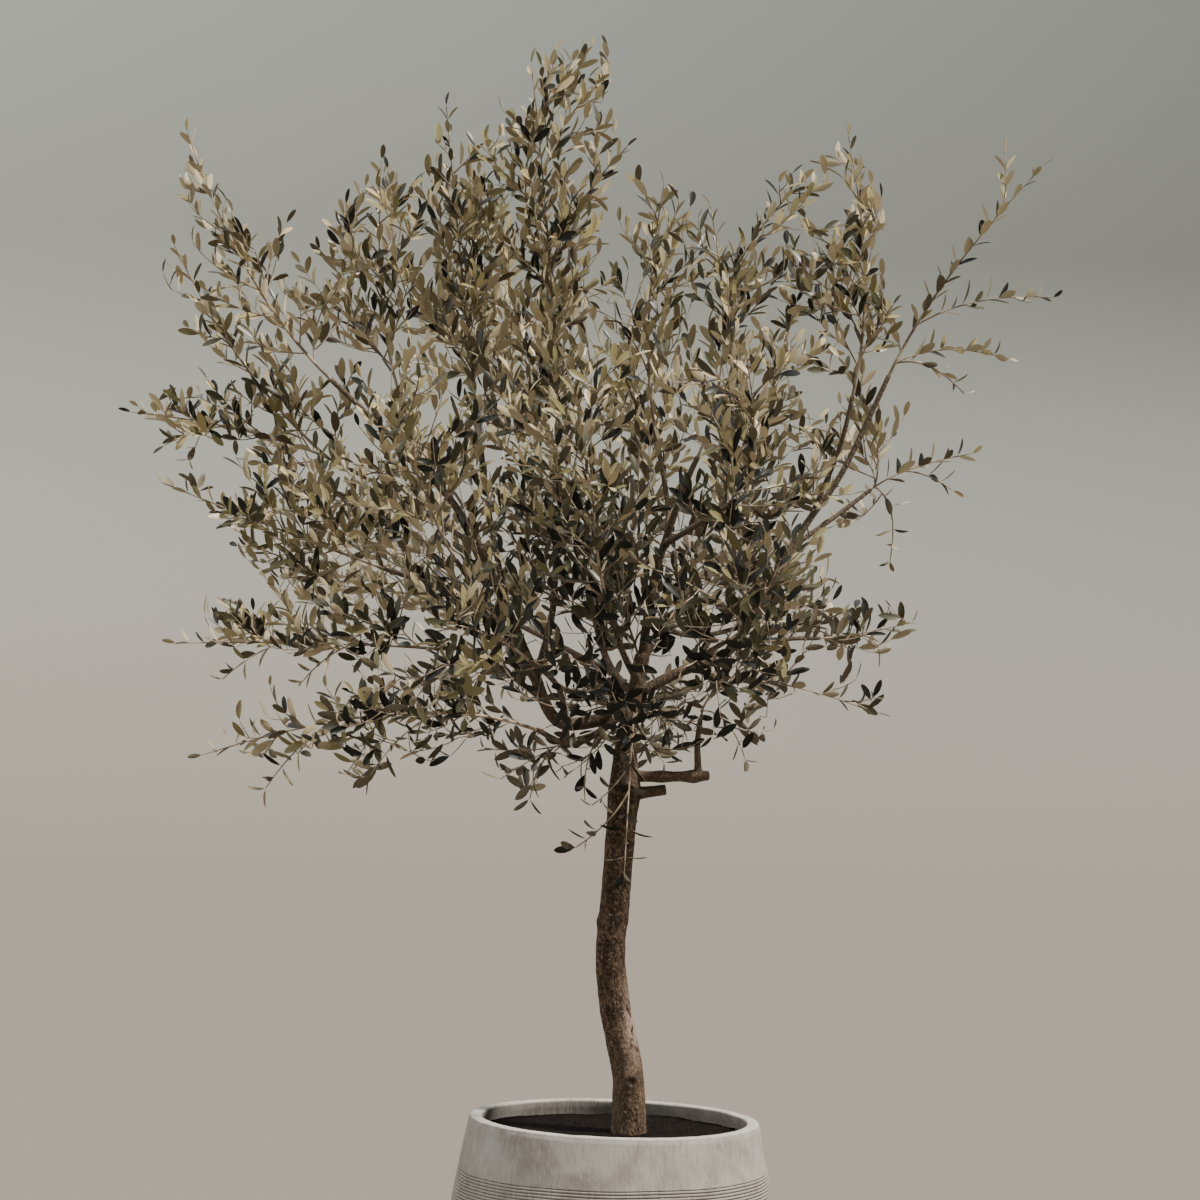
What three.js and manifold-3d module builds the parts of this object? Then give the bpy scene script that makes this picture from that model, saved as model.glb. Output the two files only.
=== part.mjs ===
// A young standard olive tree in a grooved planter, at life size, in millimetres with +Z up.
// The origin is the middle of the planter's flat underside, and -Y is the front.
// Each limb and each mass of foliage is a solid of its own, 0.3 mm clear of its neighbours.
import * as THREE from 'three';
import { mergeVertices } from 'three/addons/utils/BufferGeometryUtils.js';
import Module from 'manifold-3d';

const wasm = await Module();
wasm.setup();

// The clear gap that touching pieces keep.
const GAP = 0.3;

// The planter: a round barrel that is narrow at the mouth, widest low down, and drawn in to its foot.
const POT = {
  height: 580, mouth: 304.5, wall: 26, lip: 7,
  flare: 0.21, flareDepth: 400, footRadius: 250, footCurve: 2.4, floor: 32, facets: 36,
};
const SOIL_TOP = POT.height - 28;

// The trunk's stations, foot to fork: x, y, z and radius. It leans in a slow S, and the first station
// lies in the soil, where a level cut takes the foot off.
const TRUNK = [
  [32, 0, SOIL_TOP - 20, 38], [25, 0, 670, 32], [-3, 0, 795, 32], [-20, 0, 917, 30], [-14, 0, 1041, 30],
  [-8, 0, 1173, 30], [-3, 0, 1268, 33], [-3, 0, 1369, 20], [11, 0, 1458, 17], [25, 0, 1553, 15],
];
// The pruned stub on the trunk, under the spur: where along it, its end, and its radius.
const STUB = { at: 0.655, end: [83, -14, 1272], radius: 8 };

// The boughs: the limb each one leaves and how far along that, the radii at root and tip, and its way.
const BOUGHS = {
  left: {
    from: 'trunk', at: 0.86, thick: [14, 4.4],
    way: [[-140, -10, 1405], [-205, -20, 1515], [-260, -30, 1635], [-345, -45, 1805], [-450, -50, 1930],
      [-645, -55, 2105]],
  },
  leader: { from: 'left', at: 0.31, thick: [7.5, 4.5], way: [[-165, 0, 1660], [-170, 20, 1935]] },
  left_up: { from: 'left', at: 0.5, thick: [6, 4.2], way: [[-305, 30, 1825], [-330, 60, 1975]] },
  left_mid: { from: 'left', at: 0.62, thick: [5.5, 3.8], way: [[-465, 60, 1850], [-610, 120, 1925]] },
  left_crest: { from: 'left', at: 0.78, thick: [5, 3.8], way: [[-480, 0, 2010], [-510, 30, 2095]] },
  left_low: { from: 'left', at: 0.42, thick: [6.5, 4], way: [[-390, 0, 1670], [-525, 20, 1715]] },
  left_lower: { from: 'left', at: 0.25, thick: [5.5, 4], way: [[-320, -50, 1545], [-410, -68, 1552]] },
  front_left: { from: 'left', at: 0.28, thick: [7, 4], way: [[-270, -190, 1605], [-360, -340, 1735]] },
  low_left: { from: 'trunk', at: 0.87, thick: [7, 4.5], way: [[-105, -55, 1365], [-190, -105, 1392]] },
  front_low: { from: 'low_left', at: 0.6, thick: [6, 4], way: [[-145, -230, 1480], [-205, -400, 1540]] },
  back_left: { from: 'trunk', at: 0.9, thick: [9, 5], way: [[-50, 110, 1540], [-105, 230, 1730]] },
  back_left_low: {
    from: 'back_left', at: 0.35, thick: [6, 4],
    way: [[-220, 260, 1595], [-365, 400, 1655]],
  },
  back: { from: 'back_left', at: 0.6, thick: [6, 4], way: [[-50, 330, 1720], [5, 480, 1845]] },
  front: { from: 'trunk', at: 0.93, thick: [7, 4.5], way: [[-20, -180, 1565], [-55, -350, 1665]] },
  right: {
    from: 'trunk', at: 0.9, thick: [11.5, 4.2],
    way: [[105, 5, 1520], [205, 20, 1565], [285, 30, 1695], [355, 35, 1830], [435, 40, 1955],
      [525, 40, 2160]],
  },
  right_up: { from: 'right', at: 0.7, thick: [5, 3.8], way: [[422, -20, 2000], [445, -35, 2110]] },
  right_mid: { from: 'right', at: 0.62, thick: [5, 3.6], way: [[425, 70, 1860], [500, 110, 1920]] },
  right_low: { from: 'right', at: 0.35, thick: [6, 3.8], way: [[315, 80, 1595], [405, 140, 1600]] },
  front_right_low: { from: 'right', at: 0.2, thick: [6, 4], way: [[150, -180, 1560], [195, -340, 1595]] },
  centre: {
    from: 'trunk', at: 1, thick: [9, 4.6],
    way: [[45, -50, 1720], [95, -90, 1895], [125, -105, 1970]],
  },
  inner: { from: 'centre', at: 0.5, thick: [5.5, 4], way: [[65, -30, 1880], [35, -20, 2025]] },
  front_right: { from: 'centre', at: 0.45, thick: [6, 4], way: [[140, -240, 1835], [200, -390, 1875]] },
  back_right: { from: 'trunk', at: 0.96, thick: [8, 4.5], way: [[85, 150, 1650], [180, 320, 1760]] },
  back_right_low: {
    from: 'back_right', at: 0.35, thick: [6, 4],
    way: [[150, 230, 1595], [255, 370, 1620]],
  },
  spur: { from: 'trunk', at: 0.7, thick: [11, 9], way: [[85, -20, 1300], [172, -34, 1306]] },
  spur_rise: { from: 'spur', at: 0.84, thick: [7, 4.5], way: [[146, -38, 1370], [150, -50, 1425]] },
};

// The masses of foliage: the bough whose tip carries the stem, or the place on the trunk, the tips that
// its leaders reach (the stem's own first), how far side shoots spread, how many grow on each stretch of
// a leader, and a seed.
const MASSES = {
  top: {
    on: 'leader', spread: 195, shoots: 10, seed: 2,
    tips: [[-252, 20, 2788], [-92, 45, 2775], [-310, 30, 2690], [-350, 0, 2590], [-45, 20, 2620],
      [-240, -60, 2430], [-115, 90, 2385], [-270, -40, 2075]],
  },
  top_left: {
    on: 'left_up', spread: 220, shoots: 11, seed: 21,
    tips: [[-430, 70, 2700], [-330, -20, 2480], [-450, 110, 2290]],
  },
  left_crest: {
    on: 'left_crest', spread: 210, shoots: 10, seed: 3,
    tips: [[-560, 20, 2575], [-660, 60, 2430], [-665, 100, 2285], [-475, 40, 2430]],
  },
  left_spire: {
    on: 'left', spread: 160, shoots: 9, seed: 24,
    tips: [[-962, -60, 2610], [-752, -20, 2430], [-650, -40, 2290]],
  },
  left_high: {
    on: 'left_mid', spread: 165, shoots: 7, seed: 9,
    tips: [[-1078, 110, 2030], [-990, 30, 2380], [-1000, 60, 1960], [-920, 110, 2105], [-600, 100, 2150]],
  },
  left_out: {
    on: 'left_low', spread: 204, shoots: 11, seed: 24,
    tips: [[-1000, 40, 1880], [-875, -35, 1818], [-774, 64, 1722], [-688, 26, 1912], [-600, -60, 1850]],
  },
  left_lower: {
    on: 'left_lower', spread: 190, shoots: 10, seed: 20,
    tips: [[-945, -90, 1545], [-850, -30, 1630], [-840, -140, 1475], [-680, -70, 1475],
      [-500, -120, 1640]],
  },
  low_left: {
    on: 'low_left', spread: 180, shoots: 9, seed: 18,
    tips: [[-870, -200, 1320], [-735, -240, 1258], [-525, -220, 1290], [-430, -150, 1465],
      [-300, -90, 1455]],
  },
  low_hang: {
    trunk: 0.82, spread: 120, shoots: 11, seed: 22,
    tips: [[-262, -60, 1285], [-200, -40, 1245], [-300, 20, 1345], [-85, -75, 1248]],
  },
  hang: {
    trunk: 0.9, spread: 110, shoots: 8, seed: 8,
    tips: [[2, -120, 1105], [-100, -120, 1152], [-70, -120, 1240]],
  },
  low_core: {
    trunk: 0.85, spread: 190, shoots: 15, seed: 19,
    tips: [[-60, -240, 1470], [70, -220, 1430], [75, -130, 1335], [-235, -160, 1455], [-110, -150, 1580],
      [-170, -200, 1400]],
  },
  core_left: {
    trunk: 0.97, spread: 200, shoots: 13, seed: 17,
    tips: [[-125, -130, 1870], [-245, -150, 1800], [-70, -60, 1665], [-290, -150, 1690],
      [-330, -90, 1860]],
  },
  core_right: {
    trunk: 0.95, spread: 190, shoots: 13, seed: 9,
    tips: [[115, -160, 1690], [55, -220, 1590], [150, -130, 1830]],
  },
  core_back: {
    trunk: 0.9, spread: 180, shoots: 11, seed: 16,
    tips: [[130, 200, 1480], [-145, 240, 1445], [85, 60, 1350]],
  },
  spur: {
    on: 'spur_rise', spread: 170, shoots: 11, seed: 17,
    tips: [[515, -60, 1450], [245, -80, 1345], [225, -70, 1570]],
  },
  right_low: {
    on: 'right_low', spread: 180, shoots: 11, seed: 19,
    tips: [[600, 150, 1640], [475, 200, 1575]],
  },
  right_mid: {
    on: 'right_mid', spread: 170, shoots: 10, seed: 18,
    tips: [[715, 130, 2005], [675, 120, 1925], [550, 160, 1770], [425, 130, 2200], [440, 190, 2030]],
  },
  right_spire: {
    on: 'right', spread: 150, shoots: 9, seed: 10,
    tips: [[832, 40, 2610], [752, 40, 2635], [862, 20, 2335], [778, 60, 2205], [688, 80, 2130]],
  },
  right_up: {
    on: 'right_up', spread: 180, shoots: 10, seed: 3,
    tips: [[418, -20, 2655], [476, -40, 2520], [345, -60, 2450], [520, -70, 2300], [310, -70, 2380]],
  },
  centre: {
    on: 'centre', spread: 180, shoots: 9, seed: 8,
    tips: [[130, -180, 2480], [335, -110, 2560], [260, -150, 2380]],
  },
  inner: {
    on: 'inner', spread: 180, shoots: 10, seed: 19,
    tips: [[35, -50, 2535], [-42, -20, 2560], [-35, -40, 2230], [112, -30, 2390]],
  },
  front: {
    on: 'front', spread: 240, shoots: 9, seed: 21,
    tips: [[-100, -640, 2095], [-195, -600, 1985]],
  },
  front_left: {
    on: 'front_left', spread: 250, shoots: 8, seed: 19,
    tips: [[-475, -560, 2100], [-365, -680, 1980]],
  },
  front_right: {
    on: 'front_right', spread: 210, shoots: 8, seed: 16,
    tips: [[195, -560, 2180], [120, -560, 2130]],
  },
  front_low: {
    on: 'front_low', spread: 240, shoots: 8, seed: 10,
    tips: [[-370, -780, 1615], [-445, -660, 1480]],
  },
  front_right_low: {
    on: 'front_right_low', spread: 240, shoots: 8, seed: 5,
    tips: [[275, -700, 1755], [85, -640, 1710]],
  },
  back: { on: 'back', spread: 250, shoots: 8, seed: 16, tips: [[-65, 720, 2260], [80, 760, 2085]] },
  back_left: {
    on: 'back_left', spread: 250, shoots: 8, seed: 24,
    tips: [[-345, 480, 2505], [-470, 560, 2260]],
  },
  back_left_low: {
    on: 'back_left_low', spread: 240, shoots: 8, seed: 24,
    tips: [[-645, 740, 1785], [-465, 760, 1880]],
  },
  back_right: {
    on: 'back_right', spread: 240, shoots: 8, seed: 4,
    tips: [[335, 560, 2355], [210, 640, 2130]],
  },
  back_right_low: {
    on: 'back_right_low', spread: 220, shoots: 8, seed: 24,
    tips: [[430, 680, 1730], [200, 740, 1835]],
  },
};

// Windows of sky through the crown, as an eye in front sees them on the plane y = 0: x, z and half sizes.
const EYE = new THREE.Vector3(-68, -7845, 1665);
const SKY = [
  [-20, 2340, 40, 55], [-105, 2230, 25, 40], [365, 2490, 40, 40], [385, 2110, 35, 40], [-790, 2020, 40, 30],
  [-200, 1575, 35, 40], [-120, 1580, 40, 35], [-360, 1885, 30, 30], [-440, 1800, 30, 25], [160, 1700, 30, 15],
  [-535, 2110, 40, 25], [-435, 2050, 35, 25], [25, 1985, 15, 25], [-775, 2345, 25, 30], [130, 2280, 20, 45],
  [-70, 2275, 15, 25], [165, 2155, 35, 20], [240, 2130, 25, 30], [-585, 1985, 20, 30], [0, 2150, 20, 20],
  [-80, 2000, 15, 20], [-655, 2210, 15, 30], [125, 1590, 20, 20], [355, 1595, 25, 15], [-105, 2135, 15, 20],
  [-705, 1915, 20, 15], [-785, 1765, 25, 15],
];
// The crown's outline from the same eye, x and z, clockwise from the top: side shoots stay inside it.
const OUTLINE = [
  [-240, 2862], [-100, 2868], [-65, 2675], [-40, 2580], [-85, 2495], [5, 2530], [50, 2550], [165, 2515],
  [125, 2430], [230, 2440], [245, 2570], [380, 2625], [420, 2690], [500, 2545], [505, 2335], [550, 2275],
  [570, 2065], [510, 1990], [555, 1885], [390, 1820], [455, 1735], [415, 1660], [530, 1740], [625, 1625],
  [525, 1540], [560, 1430], [340, 1440], [270, 1360], [155, 1360], [50, 1320], [-55, 1245], [-230, 1220],
  [-310, 1350], [-475, 1275], [-580, 1225], [-625, 1320], [-865, 1300], [-845, 1385], [-645, 1405],
  [-855, 1405], [-830, 1500], [-690, 1485], [-590, 1510], [-780, 1535], [-895, 1530], [-900, 1655],
  [-740, 1640], [-825, 1725], [-905, 1815], [-810, 1850], [-935, 1845], [-1025, 1970], [-1080, 2050],
  [-1005, 2085], [-840, 2110], [-1030, 2200], [-1015, 2365], [-920, 2310], [-1000, 2515], [-965, 2620],
  [-850, 2435], [-745, 2450], [-725, 2380], [-635, 2505], [-555, 2605], [-495, 2510], [-440, 2690],
  [-385, 2650], [-315, 2675], [-250, 2710],
];

// A real leaf is 55 mm long. In the solids each blade stands for the spray of leaves on one side shoot.
const LEAF = 55;
const SPRAY = {
  length: 150, width: 54, slender: 0.32, thick: 5, apart: 62, sunk: 12, beyond: 25, least: 60,
};
const TWIG = [4.2, 2.4];
const LIMB = { sides: 6, step: 95, clear: 4 };

// Side shoots: the stretch of a stem and of a leader that carries a mass's count of them, where along it
// they start and stop, their lean off it in degrees and how much that varies, the turn from one to the
// next in radians, their share of the spread and how much that varies, and how they bend up to the light.
const SHOOT = {
  stemStretch: 400, leaderStretch: 480, from: 0.1, over: 0.84, lean: 38, leanMore: 26, turn: 2.4,
  share: 0.6, shareMore: 0.55, rise: 0.28, bend: 0.5,
};
// Leaders: how far a stem keeps its bough's heading, how far off a stem one can split for each part that
// it reaches along it, the last place it splits at, and the bow of its own way.
const LEADER = { keep: 0.42, splitSlope: 1.1, nearest: 0.06, offTrunk: 60, last: 0.9, aim: 1.2, bow: 0.45 };

const { sin, cos, PI, max, min, round, floor } = Math;
const UP = new THREE.Vector3(0, 0, 1);
const point = (p) => new THREE.Vector3(p[0], p[1], p[2]);
const lerp = (a, b, t) => a + (b - a) * t;

// A fixed fraction from 0 to 1 for each seed, axis and purpose: the crown comes out the same every time.
function pick(a, b, c) {
  const v = sin(a * 12.9898 + b * 78.233 + c * 37.719) * 43758.5453;
  return v - floor(v);
}

// A smooth way through points, and its heading.
function along(points, t) {
  const last = points.length - 1;
  const s = min(max(t, 0), 1) * last;
  const i = min(floor(s), last - 1);
  const u = s - i;
  const [a, b, c, d] = [points[max(i - 1, 0)], points[i], points[i + 1], points[min(i + 2, last)]];
  const place = new THREE.Vector3();
  place.addScaledVector(a, 0.5 * (-u + 2 * u * u - u ** 3));
  place.addScaledVector(b, 0.5 * (2 - 5 * u * u + 3 * u ** 3));
  place.addScaledVector(c, 0.5 * (u + 4 * u * u - 3 * u ** 3));
  place.addScaledVector(d, 0.5 * (-u * u + u ** 3));
  return place;
}

function heading(points, t) {
  return along(points, min(t + 0.02, 1)).sub(along(points, max(t - 0.02, 0))).normalize();
}

// A twig's bow: it sets out along its control point and ends at its tip.
function bow(axis, t) {
  const place = axis.root.clone().multiplyScalar((1 - t) ** 2);
  return place.addScaledVector(axis.mid, 2 * t * (1 - t)).addScaledVector(axis.tip, t * t);
}

function course(axis, t) {
  return bow(axis, t + 0.03).sub(bow(axis, t)).normalize();
}

// Distance from a point to a segment.
function off(p, a, b) {
  const ab = b.clone().sub(a);
  const t = min(max(p.clone().sub(a).dot(ab) / ab.lengthSq(), 0), 1);
  return p.distanceTo(a.clone().addScaledVector(ab, t));
}

// A closed geometry as a solid, and a solid as a named mesh.
function solidOf(geometry) {
  geometry.deleteAttribute('normal');
  geometry.deleteAttribute('uv');
  const merged = mergeVertices(geometry, 1e-4);
  return new wasm.Manifold(new wasm.Mesh({
    numProp: 3,
    vertProperties: new Float32Array(merged.attributes.position.array),
    triVerts: new Uint32Array(merged.index.array),
  }));
}

function meshOf(name, solid, material) {
  const { vertProperties, triVerts } = solid.getMesh();
  const geometry = new THREE.BufferGeometry();
  geometry.setAttribute('position', new THREE.BufferAttribute(new Float32Array(vertProperties), 3));
  geometry.setIndex(new THREE.BufferAttribute(new Uint32Array(triVerts), 1));
  const mesh = new THREE.Mesh(geometry, material);
  mesh.name = name;
  return mesh;
}

function largestPiece(solid) {
  const pieces = solid.decompose();
  return pieces.reduce((best, piece) => (piece.volume() > best.volume() ? piece : best));
}

function joined(solids) {
  let row = solids;
  while (row.length > 1) {
    const next = [];
    for (let i = 0; i < row.length; i += 2) next.push(i + 1 < row.length ? row[i].add(row[i + 1]) : row[i]);
    row = next;
  }
  return row[0];
}

// A round limb: a cylinder bent along a way, with a radius for each place along it.
function roundLimb(place, radiusAt, sides, steps) {
  const geometry = new THREE.CylinderGeometry(1, 1, 1, sides, steps, true);
  const normals = [];
  for (let k = 0; k <= steps; k += 1) {
    const t = k / steps;
    const ahead = place(min(t + 0.01, 1)).sub(place(max(t - 0.01, 0))).normalize();
    const side = k ? normals[k - 1].side.clone() : new THREE.Vector3(0.31, 0.87, 0.38);
    side.addScaledVector(ahead, -side.dot(ahead)).normalize();
    normals.push({ side, across: side.clone().cross(ahead), at: place(t), radius: radiusAt(t) });
  }
  const spots = geometry.attributes.position;
  for (let i = 0; i < spots.count; i += 1) {
    const ring = normals[round((spots.getY(i) + 0.5) * steps)];
    const spot = ring.at.clone();
    spot.addScaledVector(ring.side, spots.getX(i) * ring.radius);
    spot.addScaledVector(ring.across, spots.getZ(i) * ring.radius);
    spots.setXYZ(i, spot.x, spot.y, spot.z);
  }
  const faces = [...geometry.index.array];
  const foot = steps * (sides + 1);
  for (let j = 1; j < sides - 1; j += 1) faces.push(0, j, j + 1, foot, foot + j + 1, foot + j);
  geometry.setIndex(faces);
  return solidOf(geometry);
}

// The planter and its soil, turned about the axis.
function barrelRadius(z) {
  const widest = POT.height - POT.flareDepth;
  const depth = POT.height - max(z, widest);
  const swell = POT.flare * (depth - depth * (depth / POT.flareDepth) ** 1.5 / 2.5);
  if (z >= widest) return POT.mouth + swell;
  const share = ((widest - z) / widest) ** POT.footCurve;
  return POT.mouth + swell - (POT.mouth + swell - POT.footRadius) * share;
}

function turned(profile) {
  const geometry = new THREE.LatheGeometry(profile.map(([r, z]) => new THREE.Vector2(r, z)), POT.facets);
  return geometry.rotateX(PI / 2);
}

function potProfile() {
  const profile = [[0, 0]];
  for (const z of [0, 12, 45, 95, 180, 290, 400, 500]) profile.push([barrelRadius(z), z]);
  const rim = { out: POT.mouth, in: POT.mouth - POT.wall, z: POT.height - POT.lip };
  profile.push([rim.out, rim.z], [rim.out - POT.lip, POT.height]);
  profile.push([rim.in + POT.lip, POT.height], [rim.in, rim.z]);
  for (const z of [430, 240, 110, POT.floor]) profile.push([barrelRadius(z) - POT.wall, z]);
  profile.push([0, POT.floor]);
  return profile;
}

function soilProfile() {
  const profile = [[0, POT.floor + GAP], [barrelRadius(POT.floor) - POT.wall - 2, POT.floor + GAP]];
  for (const z of [110, 240, 430]) profile.push([barrelRadius(z) - POT.wall - 2 * GAP, z]);
  const top = lerp(POT.mouth - POT.wall, barrelRadius(430) - POT.wall, 21 / 143);
  profile.push([top - 2 * GAP, SOIL_TOP], [0, SOIL_TOP]);
  return profile;
}

// Limbs: their ways and radii, trunk first.
const limbs = { trunk: { points: TRUNK.map(point), radii: TRUNK.map((s) => s[3]) } };
for (const [name, { from, at, thick, way }] of Object.entries(BOUGHS)) {
  limbs[name] = { points: [along(limbs[from].points, at), ...way.map(point)], radii: thick };
}

function limbRadius(limb, t) {
  const s = t * (limb.radii.length - 1);
  const i = min(floor(s), limb.radii.length - 2);
  return lerp(limb.radii[i], limb.radii[i + 1], s - i);
}

function limbSolid(limb, extra) {
  const place = (t) => along(limb.points, t);
  let length = 0;
  for (let k = 0; k < 20; k += 1) length += place(k / 20).distanceTo(place((k + 1) / 20));
  const trunk = limb === limbs.trunk;
  const steps = trunk ? 16 : max(3, round(length / LIMB.step));
  const radiusAt = (t) => limbRadius(limb, t) + extra;
  return roundLimb(place, radiusAt, trunk ? 10 : LIMB.sides, steps);
}

// The stretches of every limb, to keep foliage off them.
const stretches = [];
for (const limb of Object.values(limbs)) {
  for (let k = 0; k < 16; k += 1) {
    const [a, b] = [along(limb.points, k / 16), along(limb.points, (k + 1) / 16)];
    stretches.push({ a, b, radius: limbRadius(limb, (k + 0.5) / 16) });
  }
}

// Each mass: its stem and leaders. A leader splits off the stem where it can set out at about 40 degrees.
const masses = Object.entries(MASSES).map(([name, mass]) => {
  const limb = limbs[mass.on ?? 'trunk'];
  const root = along(limb.points, mass.trunk ?? 1);
  const tips = mass.tips.map(point);
  const length = root.distanceTo(tips[0]);
  const chord = tips[0].clone().sub(root).normalize();
  const out = mass.on ? heading(limb.points, 1) : chord.clone().addScaledVector(UP, 0.3).normalize();
  const mid = root.clone().addScaledVector(out, LEADER.keep * length);
  const stem = { root, mid, tip: tips[0], leader: 0 };
  const nearest = mass.on ? LEADER.nearest : LEADER.offTrunk / length;
  const leaders = [stem];
  for (const tip of tips.slice(1)) {
    const reach = tip.clone().sub(root);
    const ahead = reach.dot(chord);
    const aside = reach.addScaledVector(chord, -ahead).length();
    const at = min(max((ahead - LEADER.splitSlope * aside) / length, nearest), LEADER.last);
    const split = bow(stem, at);
    const toTip = tip.clone().sub(split);
    const span = toTip.length();
    const way = course(stem, at).addScaledVector(toTip.normalize(), LEADER.aim).normalize();
    const bend = split.clone().addScaledVector(way, LEADER.bow * span);
    leaders.push({ root: split, mid: bend, tip, leader: leaders.length });
  }
  const bones = [];
  for (const leader of leaders) {
    for (let k = 0; k < 6; k += 1) bones.push([bow(leader, k / 6), bow(leader, (k + 1) / 6)]);
  }
  return { name, ...mass, leaders, bones };
});

// A point keeps to a mass's own space where that mass is the nearest, by the spread of each.
function share(mass, p, extra) {
  return (min(...mass.bones.map(([a, b]) => off(p, a, b))) + extra) / mass.spread;
}

function inOwnSpace(mass, p) {
  const own = share(mass, p, 10);
  return masses.every((other) => other === mass || share(other, p, 0) > own);
}

// The place on the plane y = 0 where the eye in front sees a point.
function seen(p) {
  const scale = -EYE.y / (p.y - EYE.y);
  return [EYE.x + (p.x - EYE.x) * scale, EYE.z + (p.z - EYE.z) * scale];
}

function inSky(p) {
  const [x, z] = seen(p);
  return SKY.some(([cx, cz, rx, rz]) => ((x - cx) / rx) ** 2 + ((z - cz) / rz) ** 2 < 1);
}

function inOutline(p) {
  const [x, z] = seen(p);
  let inside = false;
  OUTLINE.forEach(([ax, az], i) => {
    const [bx, bz] = OUTLINE[(i + 1) % OUTLINE.length];
    if (az > z !== bz > z && x < ax + (bx - ax) * (z - az) / (bz - az)) inside = !inside;
  });
  return inside;
}

function clearOfLimbs(p, room) {
  return stretches.every(({ a, b, radius }) => off(p, a, b) > radius + room);
}

// Side shoots along a leader, each at its own turn about it, bending up to the light.
function sideShoots(mass, leader) {
  const length = leader.root.distanceTo(leader.tip);
  const first = leader.leader === 0;
  const stretch = first ? SHOOT.stemStretch : SHOOT.leaderStretch;
  const count = max(first ? 2 : 1, round(mass.shoots * length / stretch));
  const chance = (k) => pick(mass.seed, leader.leader + 1, k);
  const axes = [];
  for (let k = 0; k < count; k += 1) {
    const t = SHOOT.from + SHOOT.over * (k + 0.5 + 0.5 * (chance(k) - 0.5)) / count;
    const root = bow(leader, t);
    const ahead = course(leader, t);
    const side = ahead.clone().cross(new THREE.Vector3(0.3, 0.9, 0.1)).normalize();
    const other = ahead.clone().cross(side);
    const turn = SHOOT.turn * k + 6.28 * chance(50) + chance(k + 100) - 0.5;
    const lean = (SHOOT.lean + SHOOT.leanMore * chance(k + 200)) * PI / 180;
    const way = ahead.clone().multiplyScalar(cos(lean));
    way.addScaledVector(side, sin(lean) * cos(turn)).addScaledVector(other, sin(lean) * sin(turn));
    const span = mass.spread * (1 - 0.5 * t) * (SHOOT.share + SHOOT.shareMore * chance(k + 300));
    const mid = root.clone().addScaledVector(way, SHOOT.bend * span);
    const tip = root.clone().addScaledVector(way.addScaledVector(UP, SHOOT.rise).normalize(), span);
    axes.push({ root, mid, tip, span });
  }
  return axes;
}

// How far a shoot runs before it would leave its mass's space, the crown's outline or touch a limb.
function freeShare(mass, axis) {
  let free = 0;
  for (const t of [0.2, 0.4, 0.6, 0.8, 1]) {
    const p = bow(axis, t);
    if (!inOwnSpace(mass, p) || !inOutline(p) || !clearOfLimbs(p, LIMB.clear)) break;
    free = t;
  }
  return free;
}

// A spray: a leaf-shaped blade of eight faces that bends with its shoot, its root on the twig's centre line.
function spraySolid(root, middle, tip, width) {
  const geometry = new THREE.OctahedronGeometry(1, 0);
  const way = tip.clone().sub(root).normalize();
  const across = way.clone().cross(new THREE.Vector3(way.y, -way.x, 0.6)).normalize();
  const face = across.clone().cross(way);
  const spots = geometry.attributes.position;
  for (let i = 0; i < spots.count; i += 1) {
    const x = spots.getX(i);
    const spot = (x > 0.5 ? tip : x < -0.5 ? root : middle).clone();
    spot.addScaledVector(face, spots.getY(i) * SPRAY.thick / 2);
    spot.addScaledVector(across, spots.getZ(i) * width / 2);
    spots.setXYZ(i, spot.x, spot.y, spot.z);
  }
  const edges = [width / 2, -width / 2].map((half) => middle.clone().addScaledVector(across, half));
  return { solid: solidOf(geometry), edges };
}

// The middles of the sprays so far: one that would crowd another is left out, and so is one that would
// leave its mass's space, cover a window of sky or touch a limb.
const placed = [];

function sprayIfFree(mass, root, middle, tip, atTip) {
  const length = root.distanceTo(tip);
  if (!atTip && placed.some((p) => p.distanceTo(middle) < SPRAY.apart)) return [];
  const { solid, edges } = spraySolid(root, middle, tip, min(SPRAY.width, SPRAY.slender * length));
  const tests = [...edges, tip, tip.clone().lerp(middle, 0.5)];
  const clear = (p) => inOwnSpace(mass, p) && (atTip || !inSky(p)) && clearOfLimbs(p, LIMB.clear);
  const free = tests.every(clear);
  if (free) placed.push(middle);
  return free ? [solid] : [];
}

function massSolid(mass) {
  const solids = [];
  for (const leader of mass.leaders) {
    const first = leader.leader === 0;
    const span = leader.root.distanceTo(leader.tip);
    const back = max(1 - (SPRAY.length - LEAF) / span, 0.3);
    const start = first && mass.on ? GAP / span : 0;
    const place = (t) => bow(leader, lerp(start, back + SPRAY.sunk / span, t));
    const radiusAt = (t) => lerp(TWIG[0], TWIG[1], t);
    solids.push(roundLimb(place, radiusAt, 3, first ? 4 : 2));
    const end = leader.tip.clone().addScaledVector(course(leader, 0.97), LEAF);
    solids.push(...sprayIfFree(mass, bow(leader, back), bow(leader, lerp(back, 1, 0.6)), end, true));
    for (const shoot of sideShoots(mass, leader)) {
      const free = freeShare(mass, shoot);
      const tip = bow(shoot, free).addScaledVector(course(shoot, 0.9), SPRAY.beyond);
      if (free * shoot.span > SPRAY.least) {
        solids.push(...sprayIfFree(mass, shoot.root, bow(shoot, 0.5 * free), tip, false));
      }
    }
  }
  const whole = joined(solids);
  return largestPiece(mass.on ? whole : whole.subtract(limbSolid(limbs.trunk, GAP)));
}

function finish(color, roughness) {
  return new THREE.MeshStandardMaterial({ color, roughness, metalness: 0, flatShading: true });
}

const plant = new THREE.Group();
plant.add(meshOf('pot', solidOf(turned(potProfile())), finish(0xa39a8f, 0.9)));
plant.add(meshOf('soil', solidOf(turned(soilProfile())), finish(0x3c3128, 1)));

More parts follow.
